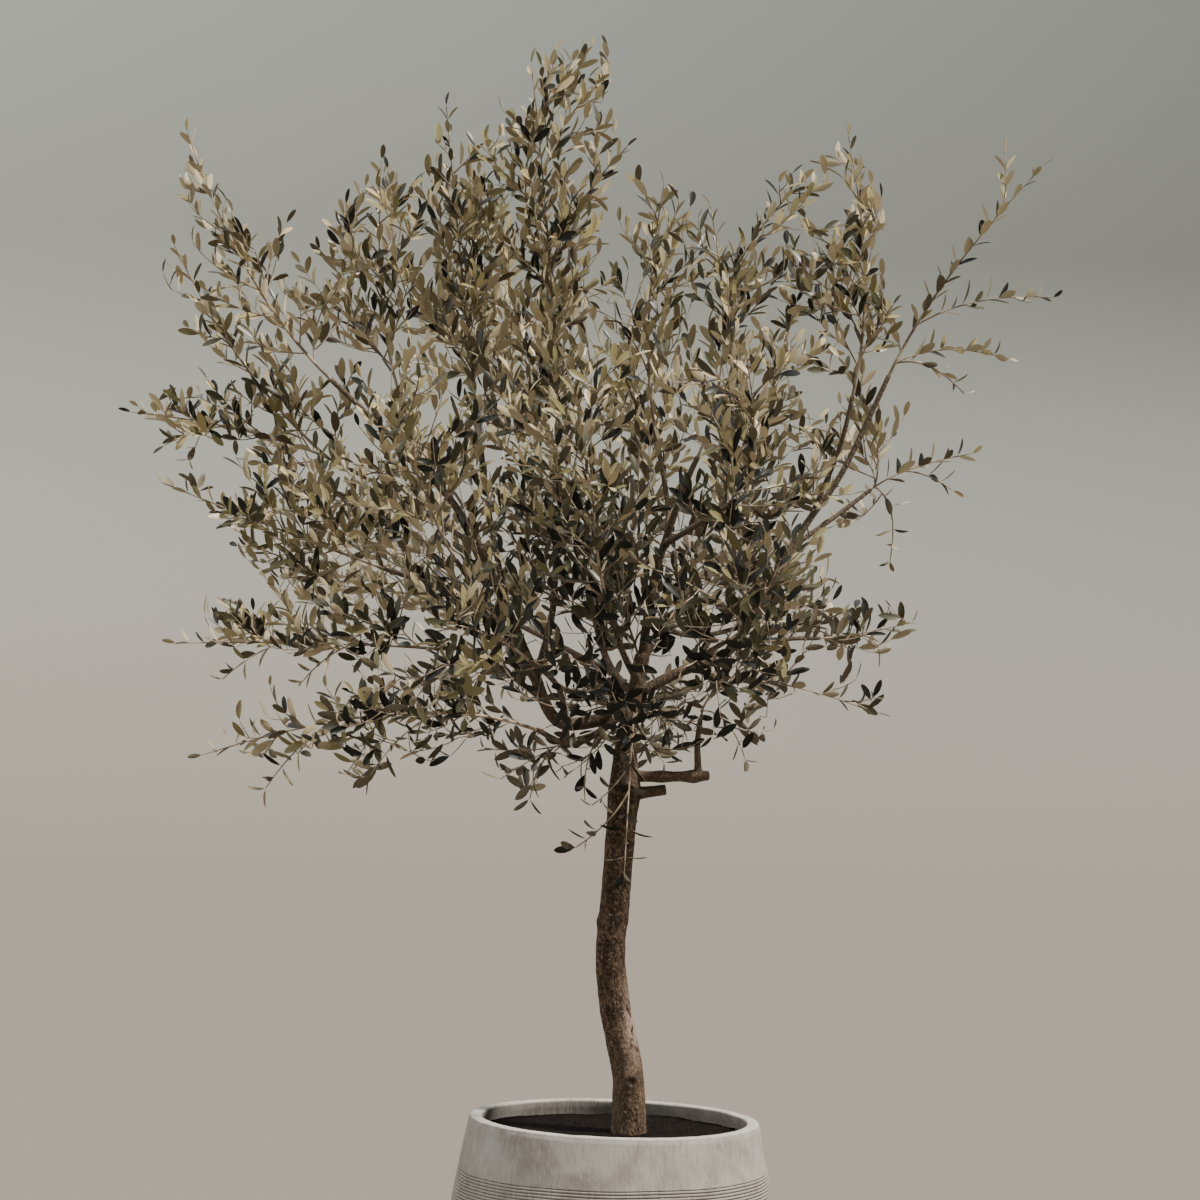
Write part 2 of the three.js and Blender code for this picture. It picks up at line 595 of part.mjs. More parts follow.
const stubRoot = along(limbs.trunk.points, STUB.at);
const stubPlace = (t) => stubRoot.clone().lerp(point(STUB.end), t);
const stub = roundLimb(stubPlace, (t) => STUB.radius * (1.25 - 0.25 * t), 6, 2);
const ground = new THREE.BoxGeometry(200, 200, 100).translate(32, 0, SOIL_TOP + GAP - 50);
const trunk = limbSolid(limbs.trunk, 0).add(stub).subtract(solidOf(ground));
plant.add(meshOf('trunk', trunk, finish(0x63503f, 0.95)));

// Each bough is cut back to 0.3 mm off the limbs that it would run into, so forks fit closely.
const built = [limbs.trunk];
for (const name of Object.keys(BOUGHS)) {
  let bough = limbSolid(limbs[name], 0);
  for (const other of built) bough = bough.subtract(limbSolid(other, GAP));
  plant.add(meshOf(`bough_${name}`, largestPiece(bough), finish(0x6b5846, 0.95)));
  built.push(limbs[name]);
}

for (const mass of masses) plant.add(meshOf(`foliage_${mass.name}`, massSolid(mass), finish(0x74735a, 0.8)));

export default plant;
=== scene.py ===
# A young olive tree in a combed planter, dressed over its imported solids: metres, +Z up, -Y to the front.
from math import cos, hypot, pi, radians, sin

import bmesh
import bpy
import numpy as np
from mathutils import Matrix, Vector, noise
from mathutils.kdtree import KDTree


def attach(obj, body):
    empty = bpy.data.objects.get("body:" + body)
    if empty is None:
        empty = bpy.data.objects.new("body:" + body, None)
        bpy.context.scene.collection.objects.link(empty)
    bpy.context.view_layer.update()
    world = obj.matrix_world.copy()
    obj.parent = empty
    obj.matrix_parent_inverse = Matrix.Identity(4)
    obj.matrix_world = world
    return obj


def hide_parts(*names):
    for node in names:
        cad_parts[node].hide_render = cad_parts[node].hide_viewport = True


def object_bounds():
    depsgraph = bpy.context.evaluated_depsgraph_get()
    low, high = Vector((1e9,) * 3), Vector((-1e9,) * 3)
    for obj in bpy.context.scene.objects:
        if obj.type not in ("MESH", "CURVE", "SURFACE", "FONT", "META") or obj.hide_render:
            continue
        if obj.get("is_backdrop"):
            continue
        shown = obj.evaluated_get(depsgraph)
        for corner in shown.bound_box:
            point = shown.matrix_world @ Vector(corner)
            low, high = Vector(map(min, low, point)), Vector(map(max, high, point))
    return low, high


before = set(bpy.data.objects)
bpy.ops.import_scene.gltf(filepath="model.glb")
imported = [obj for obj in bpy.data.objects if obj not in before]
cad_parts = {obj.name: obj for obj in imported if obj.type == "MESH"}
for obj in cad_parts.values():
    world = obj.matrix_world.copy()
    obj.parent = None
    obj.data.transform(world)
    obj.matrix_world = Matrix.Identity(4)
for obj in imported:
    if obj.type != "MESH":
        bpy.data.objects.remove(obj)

solid_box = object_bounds()

# The planter is a barrel cast in pale fibre stone, 58 cm high and 61 cm across its mouth, with rounded lips.
# Its belly was combed with fine level grooves while the mix was wet, and a thin lime wash was then brushed
# down over it. It is spun here from half its section, and shaken a little so that nothing on it is exact.
POT_HEIGHT, POT_MOUTH, POT_WALL, POT_LIP, POT_FLOOR = 0.580, 0.3045, 0.026, 0.005, 0.032
POT_FLARE, POT_FLARE_DEPTH, POT_FLARE_CURVE = 0.21, 0.400, 1.5
POT_FOOT, POT_FOOT_CURVE, FOOT_ROUND, FOOT_EASE = 0.250, 2.4, 0.008, 0.002
COMB_TOP, COMB_FOOT, COMB_PITCH, COMB_DEPTH = 0.474, 0.060, 0.0065, 0.0016
COMB_HALF, COMB_BED, COMB_TILT, COMB_WANDER = 0.0011, 0.0004, 0.014, 0.0016
RINGS_BELOW, RINGS_ABOVE = (0.020, 0.035, 0.050, 0.0622), (0.4762, 0.490, 0.510, 0.530, 0.550, 0.566, 0.572)
RINGS_INSIDE = (0.560, 0.545, 0.530, 0.430, 0.240, 0.110, POT_FLOOR)
LIP_STEP, POT_TURNS = 15, 240
POT_SHAKE, POT_LUMPS, POT_PITS = 0.0007, 16, 55
WANDER_ROUND, WANDER_UP, RIM_CHIP, RIM_CHIPS, CHIP_SPARE = 2.2, 14, 0.0022, 38, 0.25
# The groove colour is painted shade in the combed grooves.
LIME, STONE, GROOVE_SHADE = (0.40, 0.365, 0.33), (0.235, 0.21, 0.19), (0.085, 0.073, 0.064)
# The pale rim colour is a painted highlight along the rim's top.
WASH_SHADE, WASH_COOL, RIM_HIGHLIGHT = (0.255, 0.225, 0.205), (0.46, 0.45, 0.42), (0.62, 0.59, 0.54)


def barrel(z):
    """The radius of the planter's outside at height z."""
    widest = POT_HEIGHT - POT_FLARE_DEPTH
    depth = POT_HEIGHT - max(z, widest)
    closing = (depth / POT_FLARE_DEPTH) ** POT_FLARE_CURVE / (POT_FLARE_CURVE + 1)
    swell = POT_FLARE * (depth - depth * closing)
    belly = POT_MOUTH + swell
    return belly if z >= widest else belly - (belly - POT_FOOT) * ((widest - z) / widest) ** POT_FOOT_CURVE


def planter_section():
    section = [(0, 0), (POT_FOOT - FOOT_ROUND, 0), (POT_FOOT - FOOT_EASE, FOOT_EASE)]
    section += [(barrel(z), z) for z in (FOOT_ROUND, *RINGS_BELOW)]
    combs = int((COMB_TOP - COMB_FOOT) / COMB_PITCH)
    for k in range(combs, -1, -1):
        z = COMB_TOP - k * COMB_PITCH
        groove = ((-COMB_HALF, 0), (-COMB_BED, COMB_DEPTH), (COMB_BED, COMB_DEPTH), (COMB_HALF, 0))
        section += [(barrel(z + rise) - depth, z + rise) for rise, depth in groove]
    section += [(barrel(z), z) for z in RINGS_ABOVE]
    for turn in range(0, 91, LIP_STEP):
        a = radians(turn)
        section.append((POT_MOUTH - POT_LIP * (1 - cos(a)), POT_HEIGHT - POT_LIP * (1 - sin(a))))
    for turn in range(90, -1, -LIP_STEP):
        a = radians(turn)
        section.append((POT_MOUTH - POT_WALL + POT_LIP * (1 - cos(a)), POT_HEIGHT - POT_LIP * (1 - sin(a))))
    section += [(barrel(z) - POT_WALL, z) for z in RINGS_INSIDE]
    return section + [(0, POT_FLOOR)]


def spun(section, turns):
    """The closed form that a section of radii and heights makes when it is turned about the upright axis."""
    shape = bmesh.new()
    points = [shape.verts.new((r, 0, z)) for r, z in section]
    edges = [shape.edges.new(pair) for pair in zip(points, points[1:])]
    bmesh.ops.spin(shape, geom=points + edges, cent=(0, 0, 0), axis=(0, 0, 1), angle=2 * pi, steps=turns,
                   use_merge=True)
    bmesh.ops.remove_doubles(shape, verts=shape.verts, dist=1e-6)
    bmesh.ops.recalc_face_normals(shape, faces=shape.faces)
    return shape


def piece_from(shape, name, *materials):
    mesh = bpy.data.meshes.new(name)
    shape.to_mesh(mesh)
    shape.free()
    return piece_of(mesh, name, *materials)


def piece_of(mesh, name, *materials):
    for material in materials:
        mesh.materials.append(material)
    mesh.shade_smooth()
    piece = bpy.data.objects.new(name, mesh)
    bpy.context.collection.objects.link(piece)
    return piece


class Finish:
    """One finish: its material, and the few steps that mix its pattern over the piece."""

    def __init__(self, name, colour, roughness, specular=0.3):
        self.material = bpy.data.materials.new(name)
        self.material.use_nodes = True
        self.nodes, self.links = self.material.node_tree.nodes, self.material.node_tree.links
        self.shader = self.nodes["Principled BSDF"]
        self.shader.inputs["Base Color"].default_value = (*colour, 1)
        self.shader.inputs["Roughness"].default_value = roughness
        self.shader.inputs["Specular IOR Level"].default_value = specular
        self.place = self.nodes.new("ShaderNodeTexCoord").outputs["Object"]

    def grain(self, size, stretch=(1, 1, 1), detail=4, low=0.4, high=0.6, tilt=0, swirl=0.0):
        """A soft pattern from 0 to 1 with patches of about that size in metres, tilted by some degrees."""
        turned = self.nodes.new("ShaderNodeMapping")
        turned.inputs["Rotation"].default_value = (0, radians(tilt), 0)
        mapping = self.nodes.new("ShaderNodeMapping")
        mapping.inputs["Scale"].default_value = [s / size for s in stretch]
        pattern = self.nodes.new("ShaderNodeTexNoise")
        pattern.inputs["Scale"].default_value = 1
        pattern.inputs["Detail"].default_value = detail
        pattern.inputs["Distortion"].default_value = swirl
        self.links.new(self.place, turned.inputs["Vector"])
        self.links.new(turned.outputs["Vector"], mapping.inputs["Vector"])
        self.links.new(mapping.outputs["Vector"], pattern.inputs["Vector"])
        return self.spread(pattern.outputs["Fac"], low, high)

    def spread(self, value, low, high, start=0.0, end=1.0):
        limits = self.nodes.new("ShaderNodeMapRange")
        for name, number in (("From Min", low), ("From Max", high), ("To Min", start), ("To Max", end)):
            limits.inputs[name].default_value = number
        self.links.new(value, limits.inputs["Value"])
        return limits.outputs["Result"]

    def painted(self, name):
        attribute = self.nodes.new("ShaderNodeAttribute")
        attribute.attribute_name = name
        return attribute.outputs["Fac"]

    def times(self, first, second):
        product = self.nodes.new("ShaderNodeMath")
        product.operation = "MULTIPLY"
        for socket, value in zip(product.inputs, (first, second)):
            if isinstance(value, float):
                socket.default_value = value
            else:
                self.links.new(value, socket)
        return product.outputs["Value"]

    def over(self, colour, top, amount):
        """Lays the colour top over the colour so far, by the amount at each place."""
        mix = self.nodes.new("ShaderNodeMix")
        mix.data_type = "RGBA"
        for index, value in ((6, colour), (7, top)):
            if isinstance(value, tuple):
                mix.inputs[index].default_value = (*value, 1)
            else:
                self.links.new(value, mix.inputs[index])
        self.links.new(amount, mix.inputs["Factor"])
        return mix.outputs[2]

    def relief(self, height, depth):
        bump = self.nodes.new("ShaderNodeBump")
        bump.inputs["Distance"].default_value = depth
        bump.inputs["Strength"].default_value = 1
        self.links.new(height, bump.inputs["Height"])
        self.links.new(bump.outputs["Normal"], self.shader.inputs["Normal"])

    def wear(self, colour=None, roughness=None):
        if colour is not None:
            self.links.new(colour, self.shader.inputs["Base Color"])
        if roughness is not None:
            self.links.new(roughness, self.shader.inputs["Roughness"])
        return self.material


def limewash():
    wash = Finish("limewashed_stone", LIME, 0.9, specular=0.2)
    strokes = wash.grain(0.0060, stretch=(1, 1, 0.06), detail=5, low=0.36, high=0.66, swirl=0.4)
    slanted = wash.grain(0.0085, stretch=(1, 1, 0.10), detail=5, low=0.38, high=0.64, tilt=34, swirl=0.8)
    fans = wash.grain(0.075, detail=3, low=0.46, high=0.58)
    drifts = wash.grain(0.060, stretch=(1, 1, 0.5), detail=5, low=0.36, high=0.66, swirl=1.2)
    pale = wash.grain(0.110, stretch=(1, 1, 0.8), detail=6, low=0.47, high=0.66, swirl=0.8)
    colour = wash.over(LIME, STONE, wash.times(strokes, 0.60))
    colour = wash.over(colour, STONE, wash.times(wash.times(slanted, fans), 0.80))
    colour = wash.over(colour, WASH_SHADE, wash.times(drifts, 0.42))
    colour = wash.over(colour, WASH_COOL, wash.times(pale, 0.45))
    # Painted shade laid into the combed grooves, broken up by a fine grain.
    broken = wash.grain(0.011, stretch=(1, 1, 2.5), detail=3, low=0.26, high=0.50)
    colour = wash.over(colour, GROOVE_SHADE, wash.times(wash.painted("groove"), broken))
    # A painted highlight along the rim's top, broken up by a fine grain.
    light_mottle = wash.grain(0.016, detail=4, low=0.30, high=0.58)
    colour = wash.over(colour, RIM_HIGHLIGHT, wash.times(wash.times(wash.painted("lip"), light_mottle), 0.45))
    wash.relief(strokes, 0.0004)
    return wash.wear(colour, wash.spread(drifts, 0, 1, 0.82, 0.96))


shape = spun(planter_section(), POT_TURNS)
for name in ("groove", "lip"):
    shape.verts.layers.float.new(name)
groove, lip = (shape.verts.layers.float[name] for name in ("groove", "lip"))
for vert in shape.verts:
    x, y, z = vert.co
    out = hypot(x, y)
    combed = COMB_FOOT - COMB_PITCH < z < COMB_TOP + COMB_PITCH and out > barrel(z) - 2 * COMB_DEPTH
    # The groove mask marks the depth of each groove, for its painted shade.
    vert[groove] = max(0, min(1, (barrel(z) - out) / COMB_DEPTH)) if combed else 0
    # The lip mask marks the rim's top for its painted highlight.
    vert[lip] = 1 if z > POT_HEIGHT - 0.3 * POT_LIP else 0
    if out > 0.01 and z > 0.001:
        lumps = noise.noise(vert.co * POT_LUMPS) + 0.5 * noise.noise(vert.co * POT_PITS)
        away = Vector((x, y, 0)).normalized()
        vert.co -= away * POT_SHAKE * (1 + lumps)
        if combed:
            wander = noise.noise(Vector((away.x * WANDER_ROUND, away.y * WANDER_ROUND, z * WANDER_UP)))
            vert.co.z += COMB_TILT * away.x * (z - COMB_FOOT) + COMB_WANDER * wander
        elif z > POT_HEIGHT - POT_LIP - 0.001:
            chip = max(0, noise.noise(vert.co * RIM_CHIPS + Vector((7, 0, 0))) - CHIP_SPARE)
            vert.co.z -= POT_SHAKE * (1 + lumps) + RIM_CHIP * chip
planter = piece_from(shape, "planter", limewash())
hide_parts("pot")
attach(planter, "root")

# The potting soil fills the planter to some 30 mm under its rim. It is a dark, fibrous mix, settled in
# crumbs and small hollows, so its top is spun flat, then heaved and roughened point by point.
SOIL_TOP, SOIL_GAP, SOIL_SIDE, SOIL_SIDE_LOW, SOIL_EDGE = 0.552, 0.0006, 0.0025, 0.002, 0.0005
SOIL_SUNK, SOIL_RINGS, SOIL_TURNS, SOIL_STEPS = 0.002, 70, 160, (0.110, 0.240, 0.430)
SOIL_HEAVE, SOIL_HEAVES, SOIL_CRUMB, SOIL_CRUMBS, SOIL_GRIT = 0.0035, 14, 0.0022, 90, 210
SOIL_DARK, SOIL_BROWN, SOIL_CHIP = (0.003, 0.0022, 0.0018), (0.009, 0.0065, 0.005), (0.055, 0.038, 0.026)


def potting_mix():
    mix = Finish("potting_mix", SOIL_BROWN, 0.95, specular=0.05)
    colour = mix.over(SOIL_DARK, SOIL_BROWN, mix.grain(0.020, low=0.35, high=0.65))
    colour = mix.over(colour, SOIL_CHIP, mix.times(mix.grain(0.0045, detail=2, low=0.60, high=0.70), 0.8))
    mix.relief(mix.grain(0.004, detail=5, low=0.3, high=0.7), 0.002)
    return mix.wear(colour)


soil_foot = POT_FLOOR + SOIL_GAP
section = [(0, soil_foot), (barrel(POT_FLOOR) - POT_WALL - SOIL_SIDE_LOW, soil_foot)]
section += [(barrel(z) - POT_WALL - SOIL_SIDE, z) for z in SOIL_STEPS]
soil_edge = barrel(SOIL_TOP) - POT_WALL - SOIL_EDGE
soil_level = SOIL_TOP - SOIL_SUNK
section += [(soil_edge * (1 - k / SOIL_RINGS), soil_level) for k in range(SOIL_RINGS + 1)]
shape = spun(section, SOIL_TURNS)
for vert in shape.verts:
    if vert.co.z > soil_level - SOIL_SUNK:
        heave = noise.noise(vert.co * SOIL_HEAVES) * SOIL_HEAVE
        crumbs = abs(noise.noise(vert.co * SOIL_CRUMBS)) + 0.5 * abs(noise.noise(vert.co * SOIL_GRIT))
        vert.co.z += heave + SOIL_CRUMB * (crumbs - 0.6)
soil = piece_from(shape, "potting_soil", potting_mix())
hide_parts("soil")
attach(soil, "root")

# The trunk and boughs are one piece of wood under thin brown bark: a slim trunk that leans in a slow S up to
# its fork, with a knot near the soil and a pruned stub, and boughs that taper to where the foliage starts.
# Their ways are drawn in millimetres, each limb is swept along its way, and a remesh fuses them into one.
MM = 0.001
# The trunk's way: x, y, z and radius.
TRUNK = [
    (32, 0, 532, 38), (25, 0, 670, 32), (-3, 0, 795, 32), (-20, 0, 917, 30), (-14, 0, 1041, 30),
    (-8, 0, 1173, 30), (-3, 0, 1268, 33), (-3, 0, 1369, 20), (11, 0, 1458, 17), (25, 0, 1553, 15),
]
STUB_AT, STUB_END, STUB_RADIUS = 0.655, (83, -14, 1272), 10
# Each bough: what it grows from and where along it, its radii at foot and tip, and its way.
BOUGHS = {
    "left": ("trunk", 0.86, (14, 4.4), [(-140, -10, 1405), (-205, -20, 1515), (-260, -30, 1635),
        (-345, -45, 1805), (-450, -50, 1930), (-645, -55, 2105)]),
    "leader": ("left", 0.31, (7.5, 4.5), [(-165, 0, 1660), (-170, 20, 1935)]),
    "left_up": ("left", 0.5, (6, 4.2), [(-305, 30, 1825), (-330, 60, 1975)]),
    "left_mid": ("left", 0.62, (5.5, 3.8), [(-465, 60, 1850), (-610, 120, 1925)]),
    "left_crest": ("left", 0.78, (5, 3.8), [(-480, 0, 2010), (-510, 30, 2095)]),
    "left_low": ("left", 0.42, (6.5, 4), [(-390, 0, 1670), (-525, 20, 1715)]),
    "left_lower": ("left", 0.25, (5.5, 4), [(-320, -50, 1545), (-410, -68, 1552)]),
    "front_left": ("left", 0.28, (7, 4), [(-270, -190, 1605), (-360, -340, 1735)]),
    "low_left": ("trunk", 0.87, (7, 4.5), [(-105, -55, 1365), (-190, -105, 1392)]),
    "front_low": ("low_left", 0.6, (6, 4), [(-145, -230, 1480), (-205, -400, 1540)]),
    "back_left": ("trunk", 0.9, (9, 5), [(-50, 110, 1540), (-105, 230, 1730)]),
    "back_left_low": ("back_left", 0.35, (6, 4), [(-220, 260, 1595), (-365, 400, 1655)]),
    "back": ("back_left", 0.6, (6, 4), [(-50, 330, 1720), (5, 480, 1845)]),
    "front": ("trunk", 0.93, (7, 4.5), [(-20, -180, 1565), (-55, -350, 1665)]),
    "right": ("trunk", 0.9, (11.5, 4.2), [(105, 5, 1520), (205, 20, 1565), (285, 30, 1695),
        (355, 35, 1830), (435, 40, 1955), (525, 40, 2160)]),
    "right_up": ("right", 0.7, (5, 3.8), [(422, -20, 2000), (445, -35, 2110)]),
    "right_mid": ("right", 0.62, (5, 3.6), [(425, 70, 1860), (500, 110, 1920)]),
    "right_low": ("right", 0.35, (6, 3.8), [(315, 80, 1595), (405, 140, 1600)]),
    "front_right_low": ("right", 0.2, (6, 4), [(150, -180, 1560), (195, -340, 1595)]),
    "centre": ("trunk", 1, (9, 4.6), [(45, -50, 1720), (95, -90, 1895), (125, -105, 1970)]),
    "inner": ("centre", 0.5, (5.5, 4), [(65, -30, 1880), (35, -20, 2025)]),
    "front_right": ("centre", 0.45, (6, 4), [(140, -240, 1835), (200, -390, 1875)]),
    "back_right": ("trunk", 0.96, (8, 4.5), [(85, 150, 1650), (180, 320, 1760)]),
    "back_right_low": ("back_right", 0.35, (6, 4), [(150, 230, 1595), (255, 370, 1620)]),
    "spur": ("trunk", 0.7, (11, 9), [(85, -20, 1300), (172, -34, 1306)]),
    "spur_rise": ("spur", 0.84, (7, 4.5), [(146, -38, 1370), (150, -50, 1425)]),
}
LIMB_STEP, SAMPLE_STEP, LIMB_ROUNDS = 0.012, 0.008, 4
BARK_VOXEL, BARK_SWELL, STOUT_RADIUS, SLIM_RADIUS, SLIM_OVER = 0.003, 0.0012, 0.028, 0.006, 0.014
LUMPS_HIGH, LUMPS, RIDGES_HIGH, RIDGES_ROUND, RIDGES_UP = 0.0014, 22, 0.0007, 130, 38
GRIT_HIGH, GRIT, OLD_FOOT, OLD_FROM, OLD_OVER = 0.0005, 330, 0.62, 0.68, 0.12
# Each knot: its place, its size, how high it swells and how deep its hollow is.
KNOTS = [((0.033, -0.030, 0.660), 0.021, 0.0055, 0.006), ((-0.013, -0.031, 0.990), 0.012, 0.0026, 0.0),
         ((-0.047, -0.004, 0.992), 0.012, 0.0035, 0.0), ((0.018, -0.006, 0.992), 0.012, 0.0035, 0.0),
         ((-0.004, -0.012, 1.270), 0.030, 0.0035, 0.0), ((0.140, -0.031, 1.300), 0.017, 0.0055, 0.0),
         ((0.074, -0.018, 1.300), 0.016, 0.0030, 0.0), ((0.090, -0.015, 1.273), 0.011, 0.0, 0.003)]
# A painted pool of pinkish reflected light on the trunk's right side: its centre and its reach along x, y
# and z.
REFLECTION_AT, REFLECTION_SIZE = Vector((0.032, -0.014, 0.775)), Vector((0.022, 0.030, 0.085))
BARK_DARK, BARK_BROWN, BARK_TAN = (0.022, 0.014, 0.010), (0.104, 0.066, 0.042), (0.176, 0.117, 0.076)
BARK_GREY, BARK_PALE, REFLECTED_PINK = (0.120, 0.090, 0.064), (0.50, 0.41, 0.33), (0.37, 0.265, 0.215)
BARK_GOLD = (0.24, 0.165, 0.098)


def drawn(points):
    return np.array(points, float) * MM


def along(points, t):
    """The place at t on the smooth way through the points."""
    last = len(points) - 1
    s = min(max(t, 0), 1) * last
    i = min(int(s), last - 1)
    u = s - i
    a, b, c, d = points[max(i - 1, 0)], points[i], points[i + 1], points[min(i + 2, last)]
    bend, twist = 2 * a - 5 * b + 4 * c - d, 3 * b - a - 3 * c + d
    return 0.5 * (2 * b + (c - a) * u + bend * u ** 2 + twist * u ** 3)


def unit(v):
    return v / np.linalg.norm(v)


def heading(points, t):
    return unit(along(points, min(t + 0.02, 1)) - along(points, max(t - 0.02, 0)))


class Limb:
    """A limb's way through its points, and its radius along it."""

    def __init__(self, points, radii):
        self.points, self.radii = points, np.array(radii) * MM

    def radius(self, t):
        return np.interp(t, np.linspace(0, 1, len(self.radii)), self.radii)

    def sweep(self, step=LIMB_STEP):
        places = [along(self.points, t) for t in np.linspace(0, 1, 21)]
        length = sum(np.linalg.norm(np.diff(places, axis=0), axis=1))
        shares = np.linspace(0, 1, max(4, round(length / step)))
        return [(along(self.points, t), self.radius(t)) for t in shares]


limbs = {"trunk": Limb(drawn([s[:3] for s in TRUNK]), [s[3] for s in TRUNK])}
for name, (parent, at, thick, way) in BOUGHS.items():
    limbs[name] = Limb(np.vstack([along(limbs[parent].points, at), drawn(way)]), thick)


def swept(name, ways, rounds):
    """A mesh of round rods along the ways, each a list of places and radii."""
    curve = bpy.data.curves.new(name, "CURVE")
    curve.dimensions = "3D"
    curve.bevel_depth, curve.bevel_resolution, curve.use_fill_caps = 1, rounds, True
    for way in ways:
        spline = curve.splines.new("POLY")
        spline.points.add(len(way) - 1)
        for point, (place, radius) in zip(spline.points, way):
            point.co = (*place, 1)
            point.radius = radius
    rods = bpy.data.objects.new(name, curve)
    mesh = bpy.data.meshes.new_from_object(rods)
    bpy.data.objects.remove(rods)
    bpy.data.curves.remove(curve)
    return mesh


def fused(mesh, voxel):
    """The mesh made one skin by a voxel remesh."""
    rough = bpy.data.objects.new("rough", mesh)
    bpy.context.collection.objects.link(rough)
    remesh = rough.modifiers.new("fuse", "REMESH")
    remesh.mode, remesh.voxel_size = "VOXEL", voxel
    skin = bpy.data.meshes.new_from_object(rough.evaluated_get(bpy.context.evaluated_depsgraph_get()))
    bpy.data.objects.remove(rough)
    return skin


def bark_finish():
    bark = Finish("olive_bark", BARK_BROWN, 0.85, specular=0.25)
    colour = bark.over(BARK_BROWN, BARK_TAN, bark.grain(0.060, stretch=(1, 1, 0.5), low=0.42, high=0.62))
    colour = bark.over(colour, BARK_GREY, bark.painted("slim"))
    stains = bark.grain(0.022, stretch=(1, 1, 0.6), detail=6, low=0.42, high=0.64)
    colour = bark.over(colour, BARK_DARK, bark.times(bark.times(bark.painted("old"), stains), 0.7))
    fine = bark.grain(0.0062, stretch=(1, 1, 0.7), detail=7, low=0.43, high=0.56)
    colour = bark.over(colour, BARK_DARK, bark.times(bark.times(bark.painted("old"), fine), 0.85))
    flecks = bark.grain(0.0065, stretch=(1, 1, 0.8), detail=4, low=0.56, high=0.62)
    colour = bark.over(colour, BARK_GOLD, bark.times(flecks, 0.45))
    # A painted pool of pinkish reflected light on the trunk's right side, broken up by a fine grain.
    light_mottle = bark.grain(0.016, stretch=(1, 1, 0.7), detail=7, low=0.41, high=0.52, swirl=0.6)
    colour = bark.over(colour, REFLECTED_PINK, bark.times(bark.painted("reflected_light"), light_mottle))
    # The knot's hollow near the soil and the hollow in the stub's cut end are painted near black: partly
    # their own dark wood, partly painted shade in the hollows.
    colour = bark.over(colour, BARK_DARK, bark.painted("knot"))
    specks = bark.grain(0.0050, detail=1, low=0.71, high=0.76)
    colour = bark.over(colour, BARK_PALE, bark.times(specks, 0.8))
    bark.relief(bark.grain(0.0050, stretch=(1, 1, 0.6), detail=6, low=0.3, high=0.7), 0.0020)
    return bark.wear(colour, bark.spread(bark.painted("slim"), 0, 1, 0.92, 0.75))


foot = along(limbs["trunk"].points, STUB_AT)
stub = Limb(np.array([foot, drawn(STUB_END)]), [1.25 * STUB_RADIUS, STUB_RADIUS])
skin = fused(swept("limbs", [limb.sweep() for limb in [*limbs.values(), stub]], LIMB_ROUNDS), BARK_VOXEL)
samples = [sample for limb in limbs.values() for sample in limb.sweep(SAMPLE_STEP)]
wood = KDTree(len(samples))
for k, (place, radius) in enumerate(samples):
    wood.insert(place, k)
wood.balance()
PAINTED = ("slim", "old", "knot", "reflected_light")
for name in PAINTED:
    skin.attributes.new(name, "FLOAT", "POINT")
paint = {name: skin.attributes[name] for name in PAINTED}
for vert, normal in zip(skin.vertices, [Vector(n.vector) for n in skin.vertex_normals]):
    place = vert.co.copy()
    radius = samples[wood.find(place)[1]][1]
    stout = min(1, radius / STOUT_RADIUS)
    ridges = noise.noise(Vector((place.x * RIDGES_ROUND, place.y * RIDGES_ROUND, place.z * RIDGES_UP)))
    swell = BARK_SWELL + LUMPS_HIGH * stout * noise.noise(place * LUMPS) + RIDGES_HIGH * stout * ridges
    swell += GRIT_HIGH * noise.noise(place * GRIT) * (0.3 + 0.7 * stout)
    hole = 0
    for spot, size, high, deep in KNOTS:
        near = (place - Vector(spot)).length / size
        swell += high * np.exp(-near ** 2)
        hole = max(hole, np.exp(-(near * 1.5) ** 2) if deep else 0)
        swell -= deep * np.exp(-(near * 2.6) ** 2)
    vert.co = place + normal * swell
    # How far each place is from the painted pool of reflected light, scaled by its reach.
    reflection_off = sum(((a - b) / c) ** 2 for a, b, c in zip(place, REFLECTION_AT, REFLECTION_SIZE))
    slim = 1 - min(1, max(0, (radius - SLIM_RADIUS) / SLIM_OVER))
    paint["slim"].data[vert.index].value = slim
    aged = min(1, max(0, (place.z - OLD_FROM) / OLD_OVER))
    paint["old"].data[vert.index].value = stout * (OLD_FOOT + (1 - OLD_FOOT) * aged)
    # The knot mask is strongest in the hollows, for their dark wood and painted shade.
    paint["knot"].data[vert.index].value = 0.95 * hole
    paint["reflected_light"].data[vert.index].value = np.exp(-reflection_off)
bark = piece_of(skin, "bark", bark_finish())
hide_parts("trunk", *[f"bough_{name}" for name in BOUGHS])
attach(bark, "root")

# The leaves stand on shoots that carry each mass on from its bough's tip: leaders run to its tips, side
# shoots bend up off them, finer shoots stand off those, and the front and back boughs bear sprigs. Leaves
# come in pairs, slim blades of forty faces and some 45 mm, dealt out in five tones, the darker ones dealt
# most in the crown's heart as painted shade.
EYE = np.array((-0.068, -7.845, 1.665))
